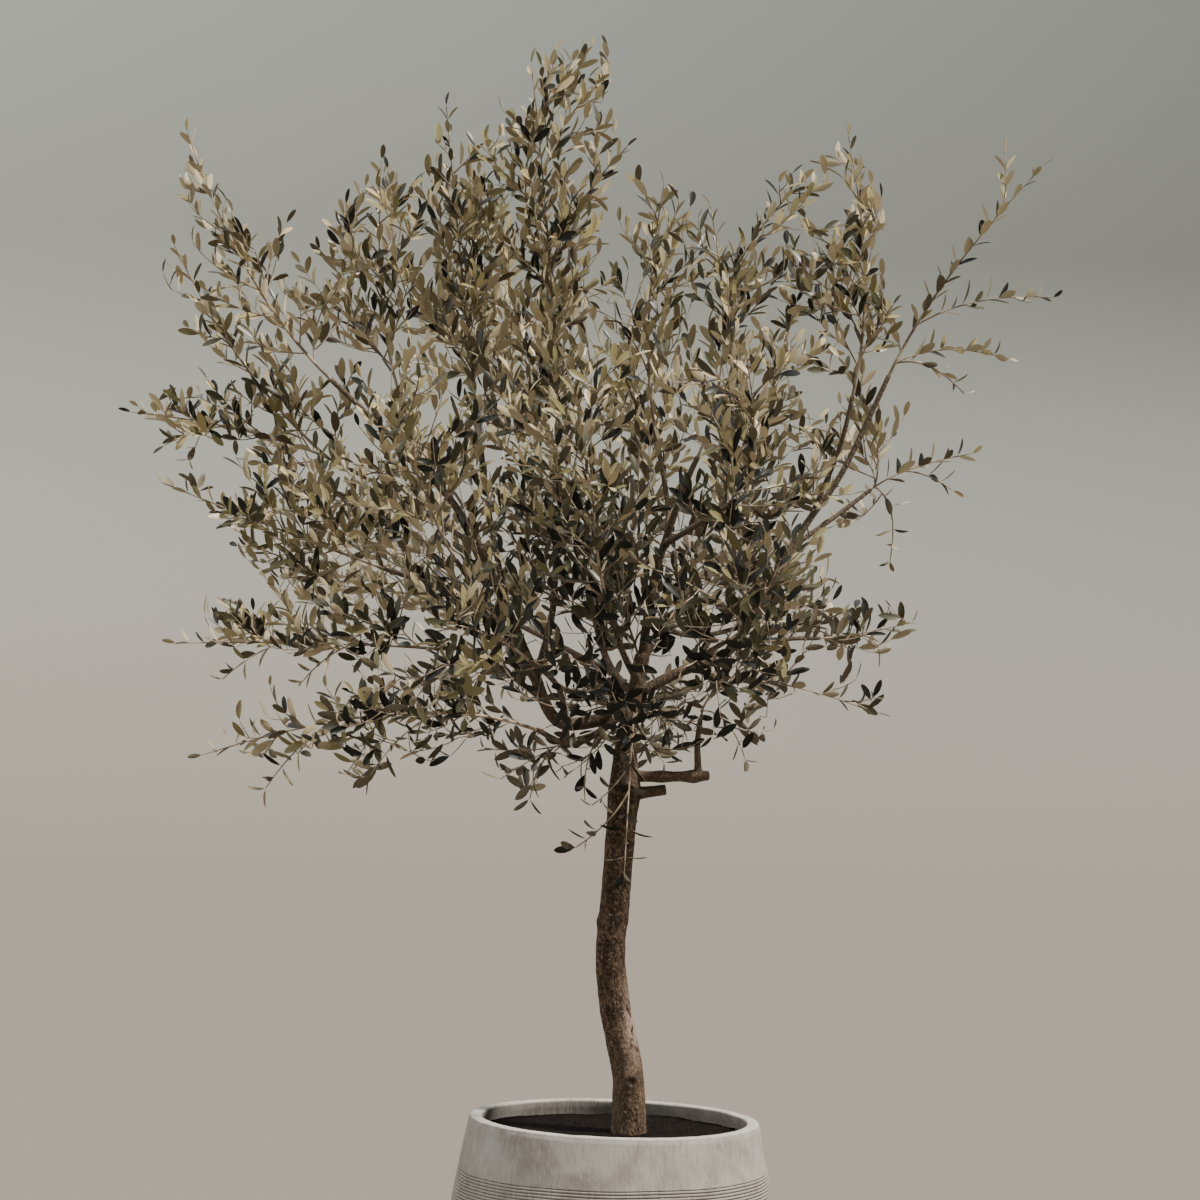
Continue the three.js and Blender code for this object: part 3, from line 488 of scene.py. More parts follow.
# Each mass: what carries it, how far its side shoots spread, how many there are, its seed and its tips.
MASSES = {
    "top": ("leader", 195, 10, 2, [(-252, 20, 2788), (-92, 45, 2775), (-310, 30, 2690),
        (-350, 0, 2590), (-45, 20, 2620), (-240, -60, 2430), (-115, 90, 2385), (-270, -40, 2075)]),
    "top_left": ("left_up", 220, 11, 21, [(-430, 70, 2700), (-330, -20, 2480), (-450, 110, 2290)]),
    "left_crest": ("left_crest", 210, 10, 3, [(-560, 20, 2575), (-660, 60, 2430), (-665, 100, 2285),
        (-475, 40, 2430)]),
    "left_spire": ("left", 160, 9, 24, [(-962, -60, 2610), (-752, -20, 2430), (-650, -40, 2290)]),
    "left_high": ("left_mid", 165, 7, 9, [(-1078, 110, 2030), (-990, 30, 2380), (-1000, 60, 1960),
        (-920, 110, 2105), (-600, 100, 2150)]),
    "left_out": ("left_low", 204, 11, 24, [(-1000, 40, 1880), (-875, -35, 1818), (-774, 64, 1722),
        (-688, 26, 1912), (-600, -60, 1850)]),
    "left_lower": ("left_lower", 190, 10, 20, [(-945, -90, 1545), (-850, -30, 1630),
        (-840, -140, 1475), (-680, -70, 1475), (-500, -120, 1640)]),
    "low_left": ("low_left", 180, 9, 18, [(-870, -200, 1320), (-735, -240, 1258), (-525, -220, 1290),
        (-430, -150, 1465), (-300, -90, 1455)]),
    "low_hang": (0.82, 120, 11, 22, [(-262, -60, 1285), (-200, -40, 1245), (-300, 20, 1345),
        (-85, -75, 1248)]),
    "hang": (0.9, 110, 8, 8, [(2, -120, 1105), (-100, -120, 1152), (-70, -120, 1240)]),
    "low_core": (0.85, 190, 15, 19, [(-60, -240, 1470), (70, -220, 1430), (75, -130, 1335),
        (-235, -160, 1455), (-110, -150, 1580), (-170, -200, 1400)]),
    "core_left": (0.97, 200, 13, 17, [(-125, -130, 1870), (-245, -150, 1800), (-70, -60, 1665),
        (-290, -150, 1690), (-330, -90, 1860)]),
    "core_right": (0.95, 190, 13, 9, [(115, -160, 1690), (55, -220, 1590), (150, -130, 1830)]),
    "core_back": (0.9, 180, 11, 16, [(130, 200, 1480), (-145, 240, 1445), (85, 60, 1350)]),
    "spur": ("spur_rise", 170, 11, 17, [(515, -60, 1450), (245, -80, 1345), (225, -70, 1570)]),
    "right_low": ("right_low", 180, 11, 19, [(600, 150, 1640), (475, 200, 1575)]),
    "right_mid": ("right_mid", 170, 10, 18, [(715, 130, 2005), (675, 120, 1925), (550, 160, 1770),
        (425, 130, 2200), (440, 190, 2030)]),
    "right_spire": ("right", 150, 9, 10, [(832, 40, 2610), (752, 40, 2635), (862, 20, 2335),
        (778, 60, 2205), (688, 80, 2130)]),
    "right_up": ("right_up", 180, 10, 3, [(418, -20, 2655), (476, -40, 2520), (345, -60, 2450),
        (520, -70, 2300), (310, -70, 2380)]),
    "centre": ("centre", 180, 9, 8, [(130, -180, 2480), (335, -110, 2560), (260, -150, 2380)]),
    "inner": ("inner", 180, 10, 19, [(35, -50, 2535), (-42, -20, 2560), (-35, -40, 2230),
        (112, -30, 2390)]),
    "front": ("front", 240, 9, 21, [(-100, -640, 2095), (-195, -600, 1985)]),
    "front_left": ("front_left", 250, 8, 19, [(-475, -560, 2100), (-365, -680, 1980)]),
    "front_right": ("front_right", 210, 8, 16, [(195, -560, 2180), (120, -560, 2130)]),
    "front_low": ("front_low", 240, 8, 10, [(-370, -780, 1615), (-445, -660, 1480)]),
    "front_right_low": ("front_right_low", 240, 8, 5, [(275, -700, 1755), (85, -640, 1710)]),
    "back": ("back", 250, 8, 16, [(-65, 720, 2260), (80, 760, 2085)]),
    "back_left": ("back_left", 250, 8, 24, [(-345, 480, 2505), (-470, 560, 2260)]),
    "back_left_low": ("back_left_low", 240, 8, 24, [(-645, 740, 1785), (-465, 760, 1880)]),
    "back_right": ("back_right", 240, 8, 4, [(335, 560, 2355), (210, 640, 2130)]),
    "back_right_low": ("back_right_low", 220, 8, 24, [(430, 680, 1730), (200, 740, 1835)]),
}
# Patches of open sky in the upright plane through the planter's axis: x, z and half their width and height.
SKY = [
    (-20, 2340, 40, 55), (-105, 2230, 25, 40), (365, 2490, 40, 40), (385, 2110, 35, 40),
    (-790, 2020, 40, 30), (-200, 1575, 35, 40), (-120, 1580, 40, 35), (-360, 1885, 30, 30),
    (-440, 1800, 30, 25), (160, 1700, 30, 15), (-535, 2110, 40, 25), (-435, 2050, 35, 25),
    (25, 1985, 15, 25), (-775, 2345, 25, 30), (130, 2280, 20, 45), (-70, 2275, 15, 25),
    (165, 2155, 35, 20), (240, 2130, 25, 30), (-585, 1985, 20, 30), (0, 2150, 20, 20),
    (-80, 2000, 15, 20), (-655, 2210, 15, 30), (125, 1590, 20, 20), (355, 1595, 25, 15),
    (-105, 2135, 15, 20), (-705, 1915, 20, 15), (-785, 1765, 25, 15),
]
# The crown's outline in the same plane.
OUTLINE = [
    (-240, 2862), (-100, 2868), (-65, 2675), (-40, 2580), (-85, 2495), (5, 2530), (50, 2550),
    (165, 2515), (125, 2430), (230, 2440), (245, 2570), (380, 2625), (420, 2690), (500, 2545),
    (505, 2335), (550, 2275), (570, 2065), (510, 1990), (555, 1885), (390, 1820), (455, 1735),
    (415, 1660), (530, 1740), (625, 1625), (525, 1540), (560, 1430), (340, 1440), (270, 1360),
    (155, 1360), (50, 1320), (-55, 1245), (-230, 1220), (-310, 1350), (-475, 1275), (-580, 1225),
    (-625, 1320), (-865, 1300), (-845, 1385), (-645, 1405), (-855, 1405), (-830, 1500), (-690, 1485),
    (-590, 1510), (-780, 1535), (-895, 1530), (-900, 1655), (-740, 1640), (-825, 1725), (-905, 1815),
    (-810, 1850), (-935, 1845), (-1025, 1970), (-1080, 2050), (-1005, 2085), (-840, 2110),
    (-1030, 2200), (-1015, 2365), (-920, 2310), (-1000, 2515), (-965, 2620), (-850, 2435),
    (-745, 2450), (-725, 2380), (-635, 2505), (-555, 2605), (-495, 2510), (-440, 2690), (-385, 2650),
    (-315, 2675), (-250, 2710),
]
STEM_STRETCH, LEADER_STRETCH, SHOOT_FROM, SHOOT_OVER = 0.400, 0.480, 0.1, 0.84
SHOOT_LEAN, SHOOT_LEAN_MORE, SHOOT_TURN, SHOOT_SHARE, SHOOT_SHARE_MORE = 38, 26, 2.4, 0.6, 0.55
SHOOT_RISE, SHOOT_BEND, SHOOT_LEAST = 0.28, 0.5, 0.030
STEM_KEEP, SPLIT_SLOPE, SPLIT_NEAREST, SPLIT_OFF_TRUNK, SPLIT_LAST = 0.42, 1.1, 0.06, 0.060, 0.9
LEADER_AIM, LEADER_BOW = 1.2, 0.45
FINE_EVERY, FINE_FROM, FINE_OVER, FINE_LEAN, FINE_SHARE = 0.055, 0.12, 0.74, 34, 0.75
SHOOT_DEEPER, SPRIG_FROM, SPRIG_COUNT, SPRIG_REACH, SPRIG_ROW = 1.5, 0.30, 7, 0.21, 60
LIMB_CLEAR, SKY_TRIM, FULL_TURN = 0.004, 0.5, 6.28
UP = np.array((0.0, 0.0, 1.0))


def pick(a, b, c):
    """A fixed fraction from 0 to 1 for each seed, twig and purpose, so the crown is the same every time."""
    v = sin(a * 12.9898 + b * 78.233 + c * 37.719) * 43758.5453
    return v % 1


class Shoot:
    """A twig's bow: it sets out along its control point and ends at its tip."""

    def __init__(self, root, mid, tip, order=0, key=0, start=0.0):
        self.root, self.mid, self.tip, self.order, self.key, self.free = root, mid, tip, order, key, 1.0
        self.start = start
        self.span = np.linalg.norm(tip - root)

    def at(self, t):
        return (1 - t) ** 2 * self.root + 2 * t * (1 - t) * self.mid + t * t * self.tip

    def course(self, t):
        return unit(self.at(t + 0.03) - self.at(t))


def off(places, bones):
    """How far each place is from each bone, with a row for each place."""
    starts, runs = bones[:, 0], bones[:, 1] - bones[:, 0]
    reach = places[:, None] - starts
    share = np.clip((reach * runs).sum(2) / (runs * runs).sum(1), 0, 1)
    return np.linalg.norm(reach - share[..., None] * runs, axis=2)


class Mass:
    """A mass of foliage: the leaders from its root to its tips, and the bones that mark its own space."""

    def __init__(self, name, on, spread, shoots, seed, tips):
        self.spread, self.count, self.seed = spread * MM, shoots, seed
        limb = limbs[on] if isinstance(on, str) else limbs["trunk"]
        self.limb, self.sprigged = limb, name.startswith(("front", "back"))
        root = along(limb.points, 1 if isinstance(on, str) else on)
        tips = drawn(tips)
        length = np.linalg.norm(tips[0] - root)
        chord = (tips[0] - root) / length
        out = heading(limb.points, 1) if isinstance(on, str) else unit(chord + 0.3 * UP)
        stem = Shoot(root, root + out * STEM_KEEP * length, tips[0])
        nearest = SPLIT_NEAREST if isinstance(on, str) else SPLIT_OFF_TRUNK / length
        self.leaders = [stem]
        for tip in tips[1:]:
            ahead = (tip - root) @ chord
            aside = np.linalg.norm(tip - root - ahead * chord)
            at = min(max((ahead - SPLIT_SLOPE * aside) / length, nearest), SPLIT_LAST)
            split = stem.at(at)
            span = np.linalg.norm(tip - split)
            way = unit(stem.course(at) + unit(tip - split) * LEADER_AIM)
            self.leaders.append(Shoot(split, split + way * LEADER_BOW * span, tip, 0, len(self.leaders)))
        steps = [(k / 6, (k + 1) / 6) for k in range(6)]
        self.bones = np.array([[each.at(a), each.at(b)] for each in self.leaders for a, b in steps])
        if self.sprigged:
            way = np.array([along(limb.points, t) for t in np.linspace(SPRIG_FROM, 1, 7)])
            self.bones = np.vstack([self.bones, np.stack([way[:-1], way[1:]], axis=1)])


masses = [Mass(name, *facts) for name, facts in MASSES.items()]
bones = np.vstack([mass.bones for mass in masses])
bone_masses = np.repeat(masses, [len(mass.bones) for mass in masses])
bone_spreads = np.array([mass.spread for mass in bone_masses])
steps = [(k / 16, (k + 1) / 16) for k in range(16)]
stretches = np.array([[along(limb.points, t) for t in step] for limb in limbs.values() for step in steps])
stretch_radii = np.array([limb.radius((a + b) / 2) for limb in limbs.values() for a, b in steps])
sky, outline = drawn(SKY), drawn(OUTLINE)


def in_own_space(mass, places):
    away = off(places, bones)
    mine = bone_masses == mass
    own = (away[:, mine].min(1) + 0.010) / mass.spread
    return (away / bone_spreads)[:, ~mine].min(1) > own


def seen(places):
    """Where the eye in front sees the places, on the upright plane through the planter's axis."""
    scale = -EYE[1] / (places[:, 1] - EYE[1])
    return EYE[0] + (places[:, 0] - EYE[0]) * scale, EYE[2] + (places[:, 2] - EYE[2]) * scale


def in_sky(places):
    x, z = seen(places)
    return np.any([((x - cx) / rx) ** 2 + ((z - cz) / rz) ** 2 < SKY_TRIM for cx, cz, rx, rz in sky], axis=0)


def in_outline(places):
    x, z = seen(places)
    inside = np.zeros(len(places), bool)
    for (ax, az), (bx, bz) in zip(outline, np.roll(outline, -1, axis=0)):
        inside ^= ((az > z) != (bz > z)) & (x < ax + (bx - ax) * (z - az) / (bz - az + 1e-12))
    return inside


def clear_of_limbs(places, room):
    return np.all(off(places, stretches) > stretch_radii + room, axis=1)


def side_shoot(mass, root, ahead, reach, row, k):
    side = unit(np.cross(ahead, (0.3, 0.9, 0.1)))
    other = np.cross(ahead, side)
    turn = SHOOT_TURN * k + FULL_TURN * pick(mass.seed, row, 50)
    turn += pick(mass.seed, row, k + 100) - 0.5
    lean = radians(SHOOT_LEAN + SHOOT_LEAN_MORE * pick(mass.seed, row, k + 200))
    way = ahead * cos(lean) + (side * cos(turn) + other * sin(turn)) * sin(lean)
    span = reach * (SHOOT_SHARE + SHOOT_SHARE_MORE * pick(mass.seed, row, k + 300))
    deep = np.array((1, 1 if mass.sprigged else SHOOT_DEEPER, 1))
    mid = root + way * SHOOT_BEND * span * deep
    return Shoot(root, mid, root + unit(way + UP * SHOOT_RISE) * span * deep, 1, 40 * (row - 1) + k)


def side_shoots(mass, leader):
    stretch = LEADER_STRETCH if leader.key else STEM_STRETCH
    count = max(1 if leader.key else 2, int(mass.count * leader.span / stretch + 0.5))
    for k in range(count):
        t = SHOOT_FROM + SHOOT_OVER * (k + 0.5 + 0.5 * (pick(mass.seed, leader.key + 1, k) - 0.5)) / count
        reach = mass.spread * (1 - 0.5 * t)
        yield side_shoot(mass, leader.at(t), leader.course(t), reach, leader.key + 1, k)


def sprigs(mass):
    """Short shoots along the bough of a front or back mass, which keep the crown full from the side."""
    for k in range(SPRIG_COUNT if mass.sprigged else 0):
        t = SPRIG_FROM + (1 - SPRIG_FROM) * (k + pick(mass.seed, SPRIG_ROW, k)) / SPRIG_COUNT
        root, ahead = along(mass.limb.points, t), heading(mass.limb.points, t)
        yield side_shoot(mass, root, ahead, SPRIG_REACH, SPRIG_ROW, k)


def fine_shoots(mass, shoot):
    count = int(shoot.span / FINE_EVERY + 0.5)
    for j in range(count):
        t = FINE_FROM + FINE_OVER * (j + 0.5) / count
        root, ahead = shoot.at(t), shoot.course(t)
        side = unit(np.cross(ahead, (0.2, 0.3, 0.93)))
        other = np.cross(ahead, side)
        turn = SHOOT_TURN * j + FULL_TURN * pick(mass.seed, shoot.key, j + 400)
        lean = radians(FINE_LEAN + 20 * pick(mass.seed, shoot.key, j + 500))
        way = ahead * cos(lean) + (side * cos(turn) + other * sin(turn)) * sin(lean)
        span = shoot.span * FINE_SHARE * (1 - 0.4 * t) * (0.7 + 0.6 * pick(mass.seed, shoot.key, j + 600))
        tip = root + unit(way + UP * SHOOT_RISE) * span
        if t < shoot.free:
            yield Shoot(root, root + way * SHOOT_BEND * span, tip, 2, 1000 + 20 * shoot.key + j, t)


def free_share(mass, shoot):
    steps = (0.2, 0.4, 0.6, 0.8, 1.0)
    places = np.array([shoot.at(t) for t in steps])
    good = in_own_space(mass, places) & in_outline(places) & clear_of_limbs(places, LIMB_CLEAR)
    return 0.0 if not good[0] else steps[len(good) - 1 if good.all() else int(np.argmin(good)) - 1]


def grown(mass):
    """Every twig of a mass, leaders first, each with the share of its bow that is free."""
    shoots = list(mass.leaders)
    sides = [shoot for leader in mass.leaders for shoot in side_shoots(mass, leader)]
    for shoot in [*sides, *sprigs(mass)]:
        shoot.free = free_share(mass, shoot)
        if shoot.free * shoot.span < SHOOT_LEAST:
            continue
        shoots.append(shoot)
        for fine in fine_shoots(mass, shoot):
            fine.free = free_share(mass, fine)
            if fine.free * fine.span > SHOOT_LEAST:
                shoots.append(fine)
    return shoots


LEAF_LENGTH, LEAF_WIDTH, LEAF_THICK, LEAF_PITCH, LEAF_APART = 0.045, 0.0140, 0.0007, 0.025, 0.0185
LEAF_STATIONS = ((0.08, 0.08), (0.26, 0.68), (0.50, 1.0), (0.74, 0.92), (0.91, 0.54))
LEAF_FOLD, LEAF_CURL, LEAF_MISSING = 0.30, 0.10, 0.10
LEAF_LEAN, LEAF_LEAN_MORE, LEAF_LEAN_LAST, LEAF_ROLL, LEAF_RISE, LEAF_CLEAR = 32, 28, 0.6, 1.2, 0.5, 0.006
LEAF_FIRST, LEAF_TAPER, LEAF_SMALL, LEAF_MORE = 1.12, 0.35, 0.82, 0.36
LEAF_BARE, LEAF_LOW, LEAF_LOW_OVER, LEAF_LOW_MORE = (0.22, 0.20, 0.10), 1.40, 0.15, 0.25
HEART, HEART_REACH = np.array((0.02, -0.05, 1.45)), np.array((0.85, 0.95, 0.75))
HEART_SHADE, HEART_OPEN, LEAF_OWN, LEAF_SHINE = 1.15, 0.45, 0.6, 0.28
# Each kind of leaf: its name, how often it comes, its upper side and its under side.
LEAF_COLOURS = [
    ("deep", 0.26, (0.010, 0.011, 0.007), (0.150, 0.126, 0.083)),
    ("green", 0.26, (0.058, 0.056, 0.028), (0.410, 0.345, 0.222)),
    ("olive", 0.25, (0.228, 0.196, 0.092), (0.530, 0.452, 0.290)),
    ("tan", 0.19, (0.465, 0.386, 0.222), (0.650, 0.560, 0.390)),
    ("young", 0.04, (0.450, 0.378, 0.180), (0.630, 0.540, 0.350)),
]


def leaf_form():
    """One leaf: rows of share along, share across and rib side, its faces, and which of them are below."""
    rib = [0.0, *[t for t, _ in LEAF_STATIONS], 1.0]
    last = len(rib) - 1
    verts = [(t, 0, 1) for t in rib] + [(t, 0, -1) for t in rib[1:-1]]
    top = list(range(last + 1))
    under = [0, *range(last + 1, 2 * last), last]
    faces, below = [], []
    for hand in (1, -1):
        edge = [0, *range(len(verts), len(verts) + len(LEAF_STATIONS)), last]
        verts += [(t, hand * w, 0) for t, w in LEAF_STATIONS]
        for line, lower in ((top, False), (under, True)):
            for k in range(last):
                for face in ((line[k], edge[k], edge[k + 1]), (line[k], edge[k + 1], line[k + 1])):
                    if len(set(face)) == 3:
                        faces.append(face if (hand == -1) != lower else face[::-1])
                        below.append(lower)
    return np.array(verts), np.array(faces), np.array(below)


def paired_leaves(mass, shoots):
    """The leaves of a mass: root, way, side, face, curl and size of each, then its twig and place on it."""
    rows = []
    for index, shoot in enumerate(shoots):
        bare = LEAF_BARE[shoot.order]
        length = shoot.free * 0.5 * (shoot.span + np.linalg.norm(shoot.mid - shoot.root)
                                     + np.linalg.norm(shoot.tip - shoot.mid))
        count = max(1, int(length * (1 - bare) / LEAF_PITCH))
        for k in range(count + 1):
            t = shoot.free * (bare + (1 - bare) * k / count)
            root = shoot.at(t)
            ahead = unit(shoot.at(t + 0.02) - shoot.at(t - 0.02))
            side = unit(np.cross(ahead, (0.1, 0.2, 0.97)))
            other = np.cross(ahead, side)
            turn = (k % 2) * pi / 2 + FULL_TURN * pick(mass.seed, shoot.key, 7)
            turn += 0.5 * (pick(mass.seed, shoot.key, k + 20) - 0.5)
            vigour = LEAF_SMALL + LEAF_MORE * pick(mass.seed, shoot.key, k + 700)
            size = LEAF_LENGTH * (LEAF_FIRST - LEAF_TAPER * t ** 3) * vigour
            size *= 1 + LEAF_LOW_MORE * min(1, max(0, (LEAF_LOW - root[2]) / LEAF_LOW_OVER))
            for hand in (1, -1):
                chance = [pick(mass.seed * hand, shoot.key, k + n) for n in (900, 1000, 1100, 1200, 1300)]
                if chance[0] < LEAF_MISSING:
                    continue
                away = (side * cos(turn) + other * sin(turn)) * hand
                lean = radians(LEAF_LEAN + LEAF_LEAN_MORE * chance[1]) * (1 if k < count else LEAF_LEAN_LAST)
                way = unit(ahead * cos(lean) + away * sin(lean) + UP * LEAF_RISE)
                roll = (side * (chance[2] - 0.5) + other * (chance[3] - 0.5)) * LEAF_ROLL
                across = unit(np.cross(way, ahead * sin(lean) - away * cos(lean) + roll))
                face = np.cross(across, way)
                curl = LEAF_CURL * (0.3 + 1.4 * chance[4])
                leader = shoot.order == 0
                rows.append((*root, *(way * size), *across, *face, curl, size, shoot.key, leader, index, t))
    rows = np.array(rows)
    root, way = rows[:, :3], rows[:, 3:6]
    free = clear_of_limbs(root + 0.6 * way, LEAF_CLEAR)
    for share in (0.5, 1.0):
        place = root + share * way
        free &= in_own_space(mass, place) & ~in_sky(place) & (in_outline(place) | (rows[:, 15] > 0))
    return rows[free]


def leaf_mesh(name, rows):
    form, faces, below = leaf_form()
    along_leaf, across_leaf, rib = form[:, 0], form[:, 1], form[:, 2]
    root, way, across, face = (rows[:, None, n:n + 3] for n in (0, 3, 6, 9))
    curl, size = rows[:, 12, None, None], rows[:, 13, None, None]
    half = 0.5 * LEAF_WIDTH * size / LEAF_LENGTH
    lift = LEAF_FOLD * half * np.abs(across_leaf)[:, None] - curl * size * (along_leaf ** 2)[:, None]
    lift = lift + 0.5 * LEAF_THICK * rib[:, None]
    places = root + way * along_leaf[:, None] + across * half * across_leaf[:, None] + face * lift
    mesh = bpy.data.meshes.new(name)
    starts = np.arange(len(rows))[:, None, None] * len(form)
    mesh.from_pydata(places.reshape(-1, 3), [], (faces + starts).reshape(-1, 3))
    mesh.polygons.foreach_set("material_index", np.tile(below, len(rows)).astype(np.int32))
    rim = np.tile(rib == 0, len(rows)) | np.tile((along_leaf == 0) | (along_leaf == 1), len(rows))
    ends = np.zeros(2 * len(mesh.edges), np.int32)
    mesh.edges.foreach_get("vertices", ends)
    sharp = mesh.attributes.new("sharp_edge", "BOOLEAN", "EDGE")
    sharp.data.foreach_set("value", rim[ends].reshape(-1, 2).all(1))
    return mesh


def inside(places):
    """How deep each place lies in the shaded heart of the crown, from 0 to 1."""
    return np.clip(1 - np.linalg.norm((places - HEART) / HEART_REACH, axis=1), 0, 1)


def thinned(crown):
    """The leaves that stand clear of those before them: some in a crowd are left out, most in the heart."""
    places = np.vstack([rows[:, :3] + 0.5 * rows[:, 3:6] for _, rows in crown])
    apart = LEAF_APART * (1 + HEART_OPEN * inside(places))
    tree = KDTree(len(places))
    for k, place in enumerate(places):
        tree.insert(place, k)
    tree.balance()
    kept = np.ones(len(places), bool)
    for k, place in enumerate(places):
        if kept[k]:
            for _, other, _ in tree.find_range(place, apart[k]):
                if other > k:
                    kept[other] = False
    ends = np.cumsum([len(rows) for _, rows in crown])
    return [(mass, rows[kept[end - len(rows):end]]) for (mass, rows), end in zip(crown, ends)]


foliage = [(mass, grown(mass)) for mass in masses]
crown = thinned([(mass, paired_leaves(mass, shoots)) for mass, shoots in foliage])
levels = np.cumsum([share for _, share, _, _ in LEAF_COLOURS])
dealt = [[] for _ in LEAF_COLOURS]
for mass, rows in crown:
    draws = np.array([pick(mass.seed + 0.37, twig, 61) for twig in rows[:, 14]])
    single = np.array([pick(size * 900, curl * 70, 3) for curl, size in rows[:, 12:14]])
    draws = (draws + LEAF_OWN * single) % 1
    # Leaves deep in the crown's heart are dealt the darker tones, as painted shade.
    draws *= 1 - HEART_SHADE * inside(rows[:, :3])
    kinds = np.minimum(np.searchsorted(levels, draws * levels[-1]), len(LEAF_COLOURS) - 1)
    for kind in range(len(LEAF_COLOURS)):
        dealt[kind].append(rows[kinds == kind])
for (name, _, upper, lower), rows in zip(LEAF_COLOURS, dealt):
    mesh = leaf_mesh(f"leaves_{name}", np.vstack(rows))
    above = Finish(f"leaf_{name}", upper, 0.36, LEAF_SHINE).material
    below = Finish(f"leaf_{name}_under", lower, 0.7, LEAF_SHINE).material
    leaves = piece_of(mesh, f"leaves_{name}", above, below)
    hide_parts(*[f"foliage_{mass}" for mass in MASSES])
    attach(leaves, "root")

# The twigs are the crown's shoots as thin rods, pale where young and brown in places. Each one but a leader
# is cut back to the last leaf or finer shoot that it carries, so no bare stick stands out of the crown.
TWIG_THICK = [(0.0042, 0.0012), (0.0018, 0.0009), (0.0012, 0.0008)]
TWIG_TAN, TWIG_BROWN = (0.46, 0.375, 0.285), (0.19, 0.138, 0.095)
TWIG_STEPS, TWIG_SUNK, TWIG_FULL, TWIG_SLIM, TWIG_LEAST = (10, 4, 4), 0.004, 0.6, 0.5, 0.05


def carried(shoots, rows):
    """How far each shoot reaches: a leader in full, any other to the last leaf or shoot that it carries."""
    reach = np.zeros(len(shoots))
    np.maximum.at(reach, rows[:, 16].astype(int), rows[:, 17])
    farthest = 0.0
    for k in range(len(shoots) - 1, -1, -1):
        if shoots[k].order == 2 and reach[k] > 0:
            farthest = max(farthest, shoots[k].start)
        elif shoots[k].order == 1:
            reach[k] = max(reach[k], farthest)
            farthest = 0.0
        elif shoots[k].order == 0:
            reach[k] = 1
    return reach


def twig_way(shoot, reach):
    """A shoot's places and radii, from just inside its bough, for a leader, to as far as it reaches."""
    thick, thin = TWIG_THICK[shoot.order]
    start = 0.0
    if shoot.order == 0:
        thick *= min(1, max(TWIG_SLIM, shoot.span / TWIG_FULL))
        start = -TWIG_SUNK / shoot.span
    steps = TWIG_STEPS[shoot.order]
    shares = np.linspace(start, reach, steps + 1)
    return [(shoot.at(t), thick + (thin - thick) * k / steps) for k, t in enumerate(shares)]


def twig_finish():
    twig = Finish("young_wood", TWIG_TAN, 0.7)
    colour = twig.over(TWIG_TAN, TWIG_BROWN, twig.grain(0.03, detail=3, low=0.4, high=0.6))
    return twig.wear(colour)


twig_ways = []
for (mass, shoots), (_, rows) in zip(foliage, crown):
    for shoot, reach in zip(shoots, carried(shoots, rows)):
        if reach > TWIG_LEAST:
            twig_ways.append(twig_way(shoot, reach))
twigs = piece_of(swept("twigs", twig_ways, 1), "twigs", twig_finish())
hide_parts(*[f"foliage_{name}" for name in MASSES])
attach(twigs, "root")

# The studio is a round room with a plain pale floor that sweeps up into its wall, so every view has a quiet
# ground. A sun stands high at the right, with a soft lamp at the left and one behind, and a pale roof.
ROOM_RADIUS, ROOM_SWEEP, ROOM_HEIGHT, ROOM_STEP, ROOM_TURNS = 17.0, 4.0, 7.2, 6, 128
FLOOR_WARM, WALL_COOL, COOL_FROM, COOL_TO = (0.170, 0.140, 0.115), (0.525, 0.582, 0.562), -0.5, 6.5
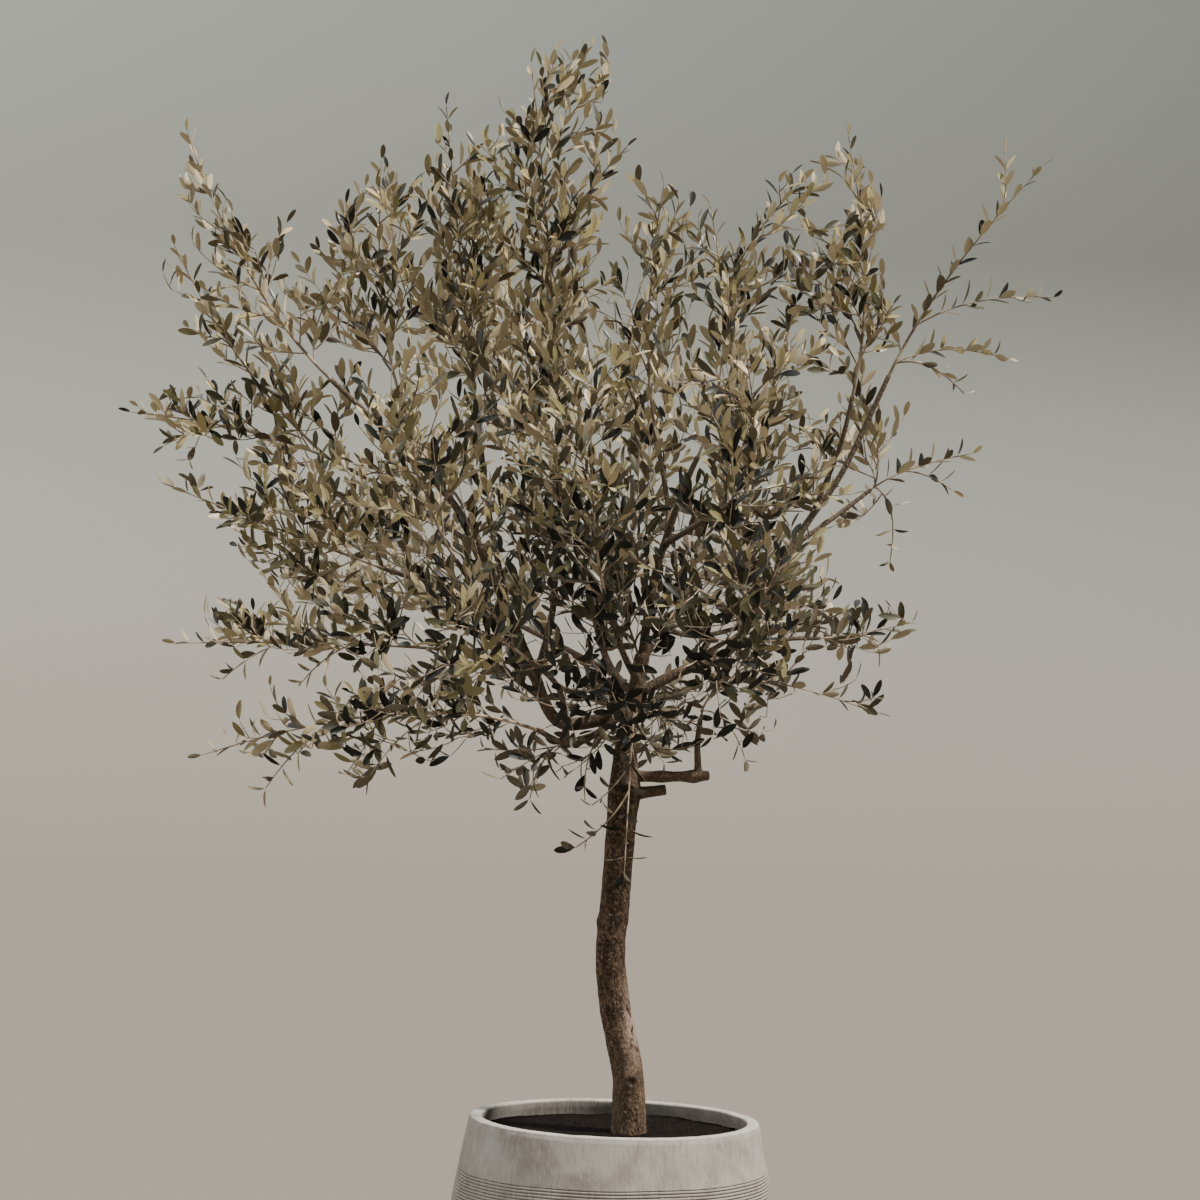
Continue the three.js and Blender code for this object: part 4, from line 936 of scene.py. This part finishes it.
# Each lamp: its name, its turn from the front and its height in degrees, its strength, softness and colour.
LAMPS = [
    ("key", 72, 58, 7.0, 0.09, (1.0, 0.95, 0.86)),
    ("fill", -85, 50, 2.0, 1.0, (0.97, 0.99, 1.0)),
    ("back", 176, 38, 0.9, 1.0, (0.97, 0.99, 1.0)),
]
LAMP_AWAY, ROOF_LIGHT, ROOF_COLOUR = 6, 0.11, (1.0, 0.99, 0.97)
CAMERA_ROLL, CAMERA_LENS, CAMERA_SENSOR = 2.0, 112.08, 36.0


def studio_section():
    section = [(0, 0), (ROOM_RADIUS - ROOM_SWEEP, 0)]
    for turn in range(ROOM_STEP, 91, ROOM_STEP):
        a = radians(turn)
        section.append((ROOM_RADIUS - ROOM_SWEEP * (1 - sin(a)), ROOM_SWEEP * (1 - cos(a))))
    return section + [(ROOM_RADIUS, ROOM_HEIGHT)]


def paper_finish():
    paper = Finish("paper", FLOOR_WARM, 0.95, specular=0.1)
    axes = paper.nodes.new("ShaderNodeSeparateXYZ")
    paper.links.new(paper.place, axes.inputs["Vector"])
    height = paper.spread(axes.outputs["Z"], COOL_FROM, COOL_TO)
    return paper.wear(paper.over(FLOOR_WARM, WALL_COOL, height))


shape = spun(studio_section(), ROOM_TURNS)
bmesh.ops.reverse_faces(shape, faces=shape.faces)
studio = piece_from(shape, "studio", paper_finish())
studio.visible_shadow = False
studio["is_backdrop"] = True

for name, turn, height, strength, soft, colour in LAMPS:
    light = bpy.data.lights.new(name, "SUN")
    light.energy, light.angle, light.color = strength, soft, colour
    lamp = bpy.data.objects.new(name, light)
    across, up = radians(turn), radians(height)
    toward = Vector((sin(across) * cos(up), -cos(across) * cos(up), sin(up)))
    lamp.location = toward * LAMP_AWAY
    lamp.rotation_euler = toward.to_track_quat("Z", "Y").to_euler()
    bpy.context.collection.objects.link(lamp)

world = bpy.data.worlds.new("roof")
world.use_nodes = True
roof = world.node_tree.nodes["Background"]
roof.inputs["Color"].default_value = (*ROOF_COLOUR, 1)
roof.inputs["Strength"].default_value = ROOF_LIGHT
bpy.context.scene.world = world

camera = bpy.data.objects.new("camera", bpy.data.cameras.new("camera"))
camera.data.lens, camera.data.sensor_width = CAMERA_LENS, CAMERA_SENSOR
camera.location = EYE
camera.rotation_euler = (radians(90), -radians(CAMERA_ROLL), 0)
bpy.context.collection.objects.link(camera)
bpy.context.scene.camera = camera

boxes = {"solids": solid_box, "dressed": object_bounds()}
{name: [list(corner) for corner in box] for name, box in boxes.items()}
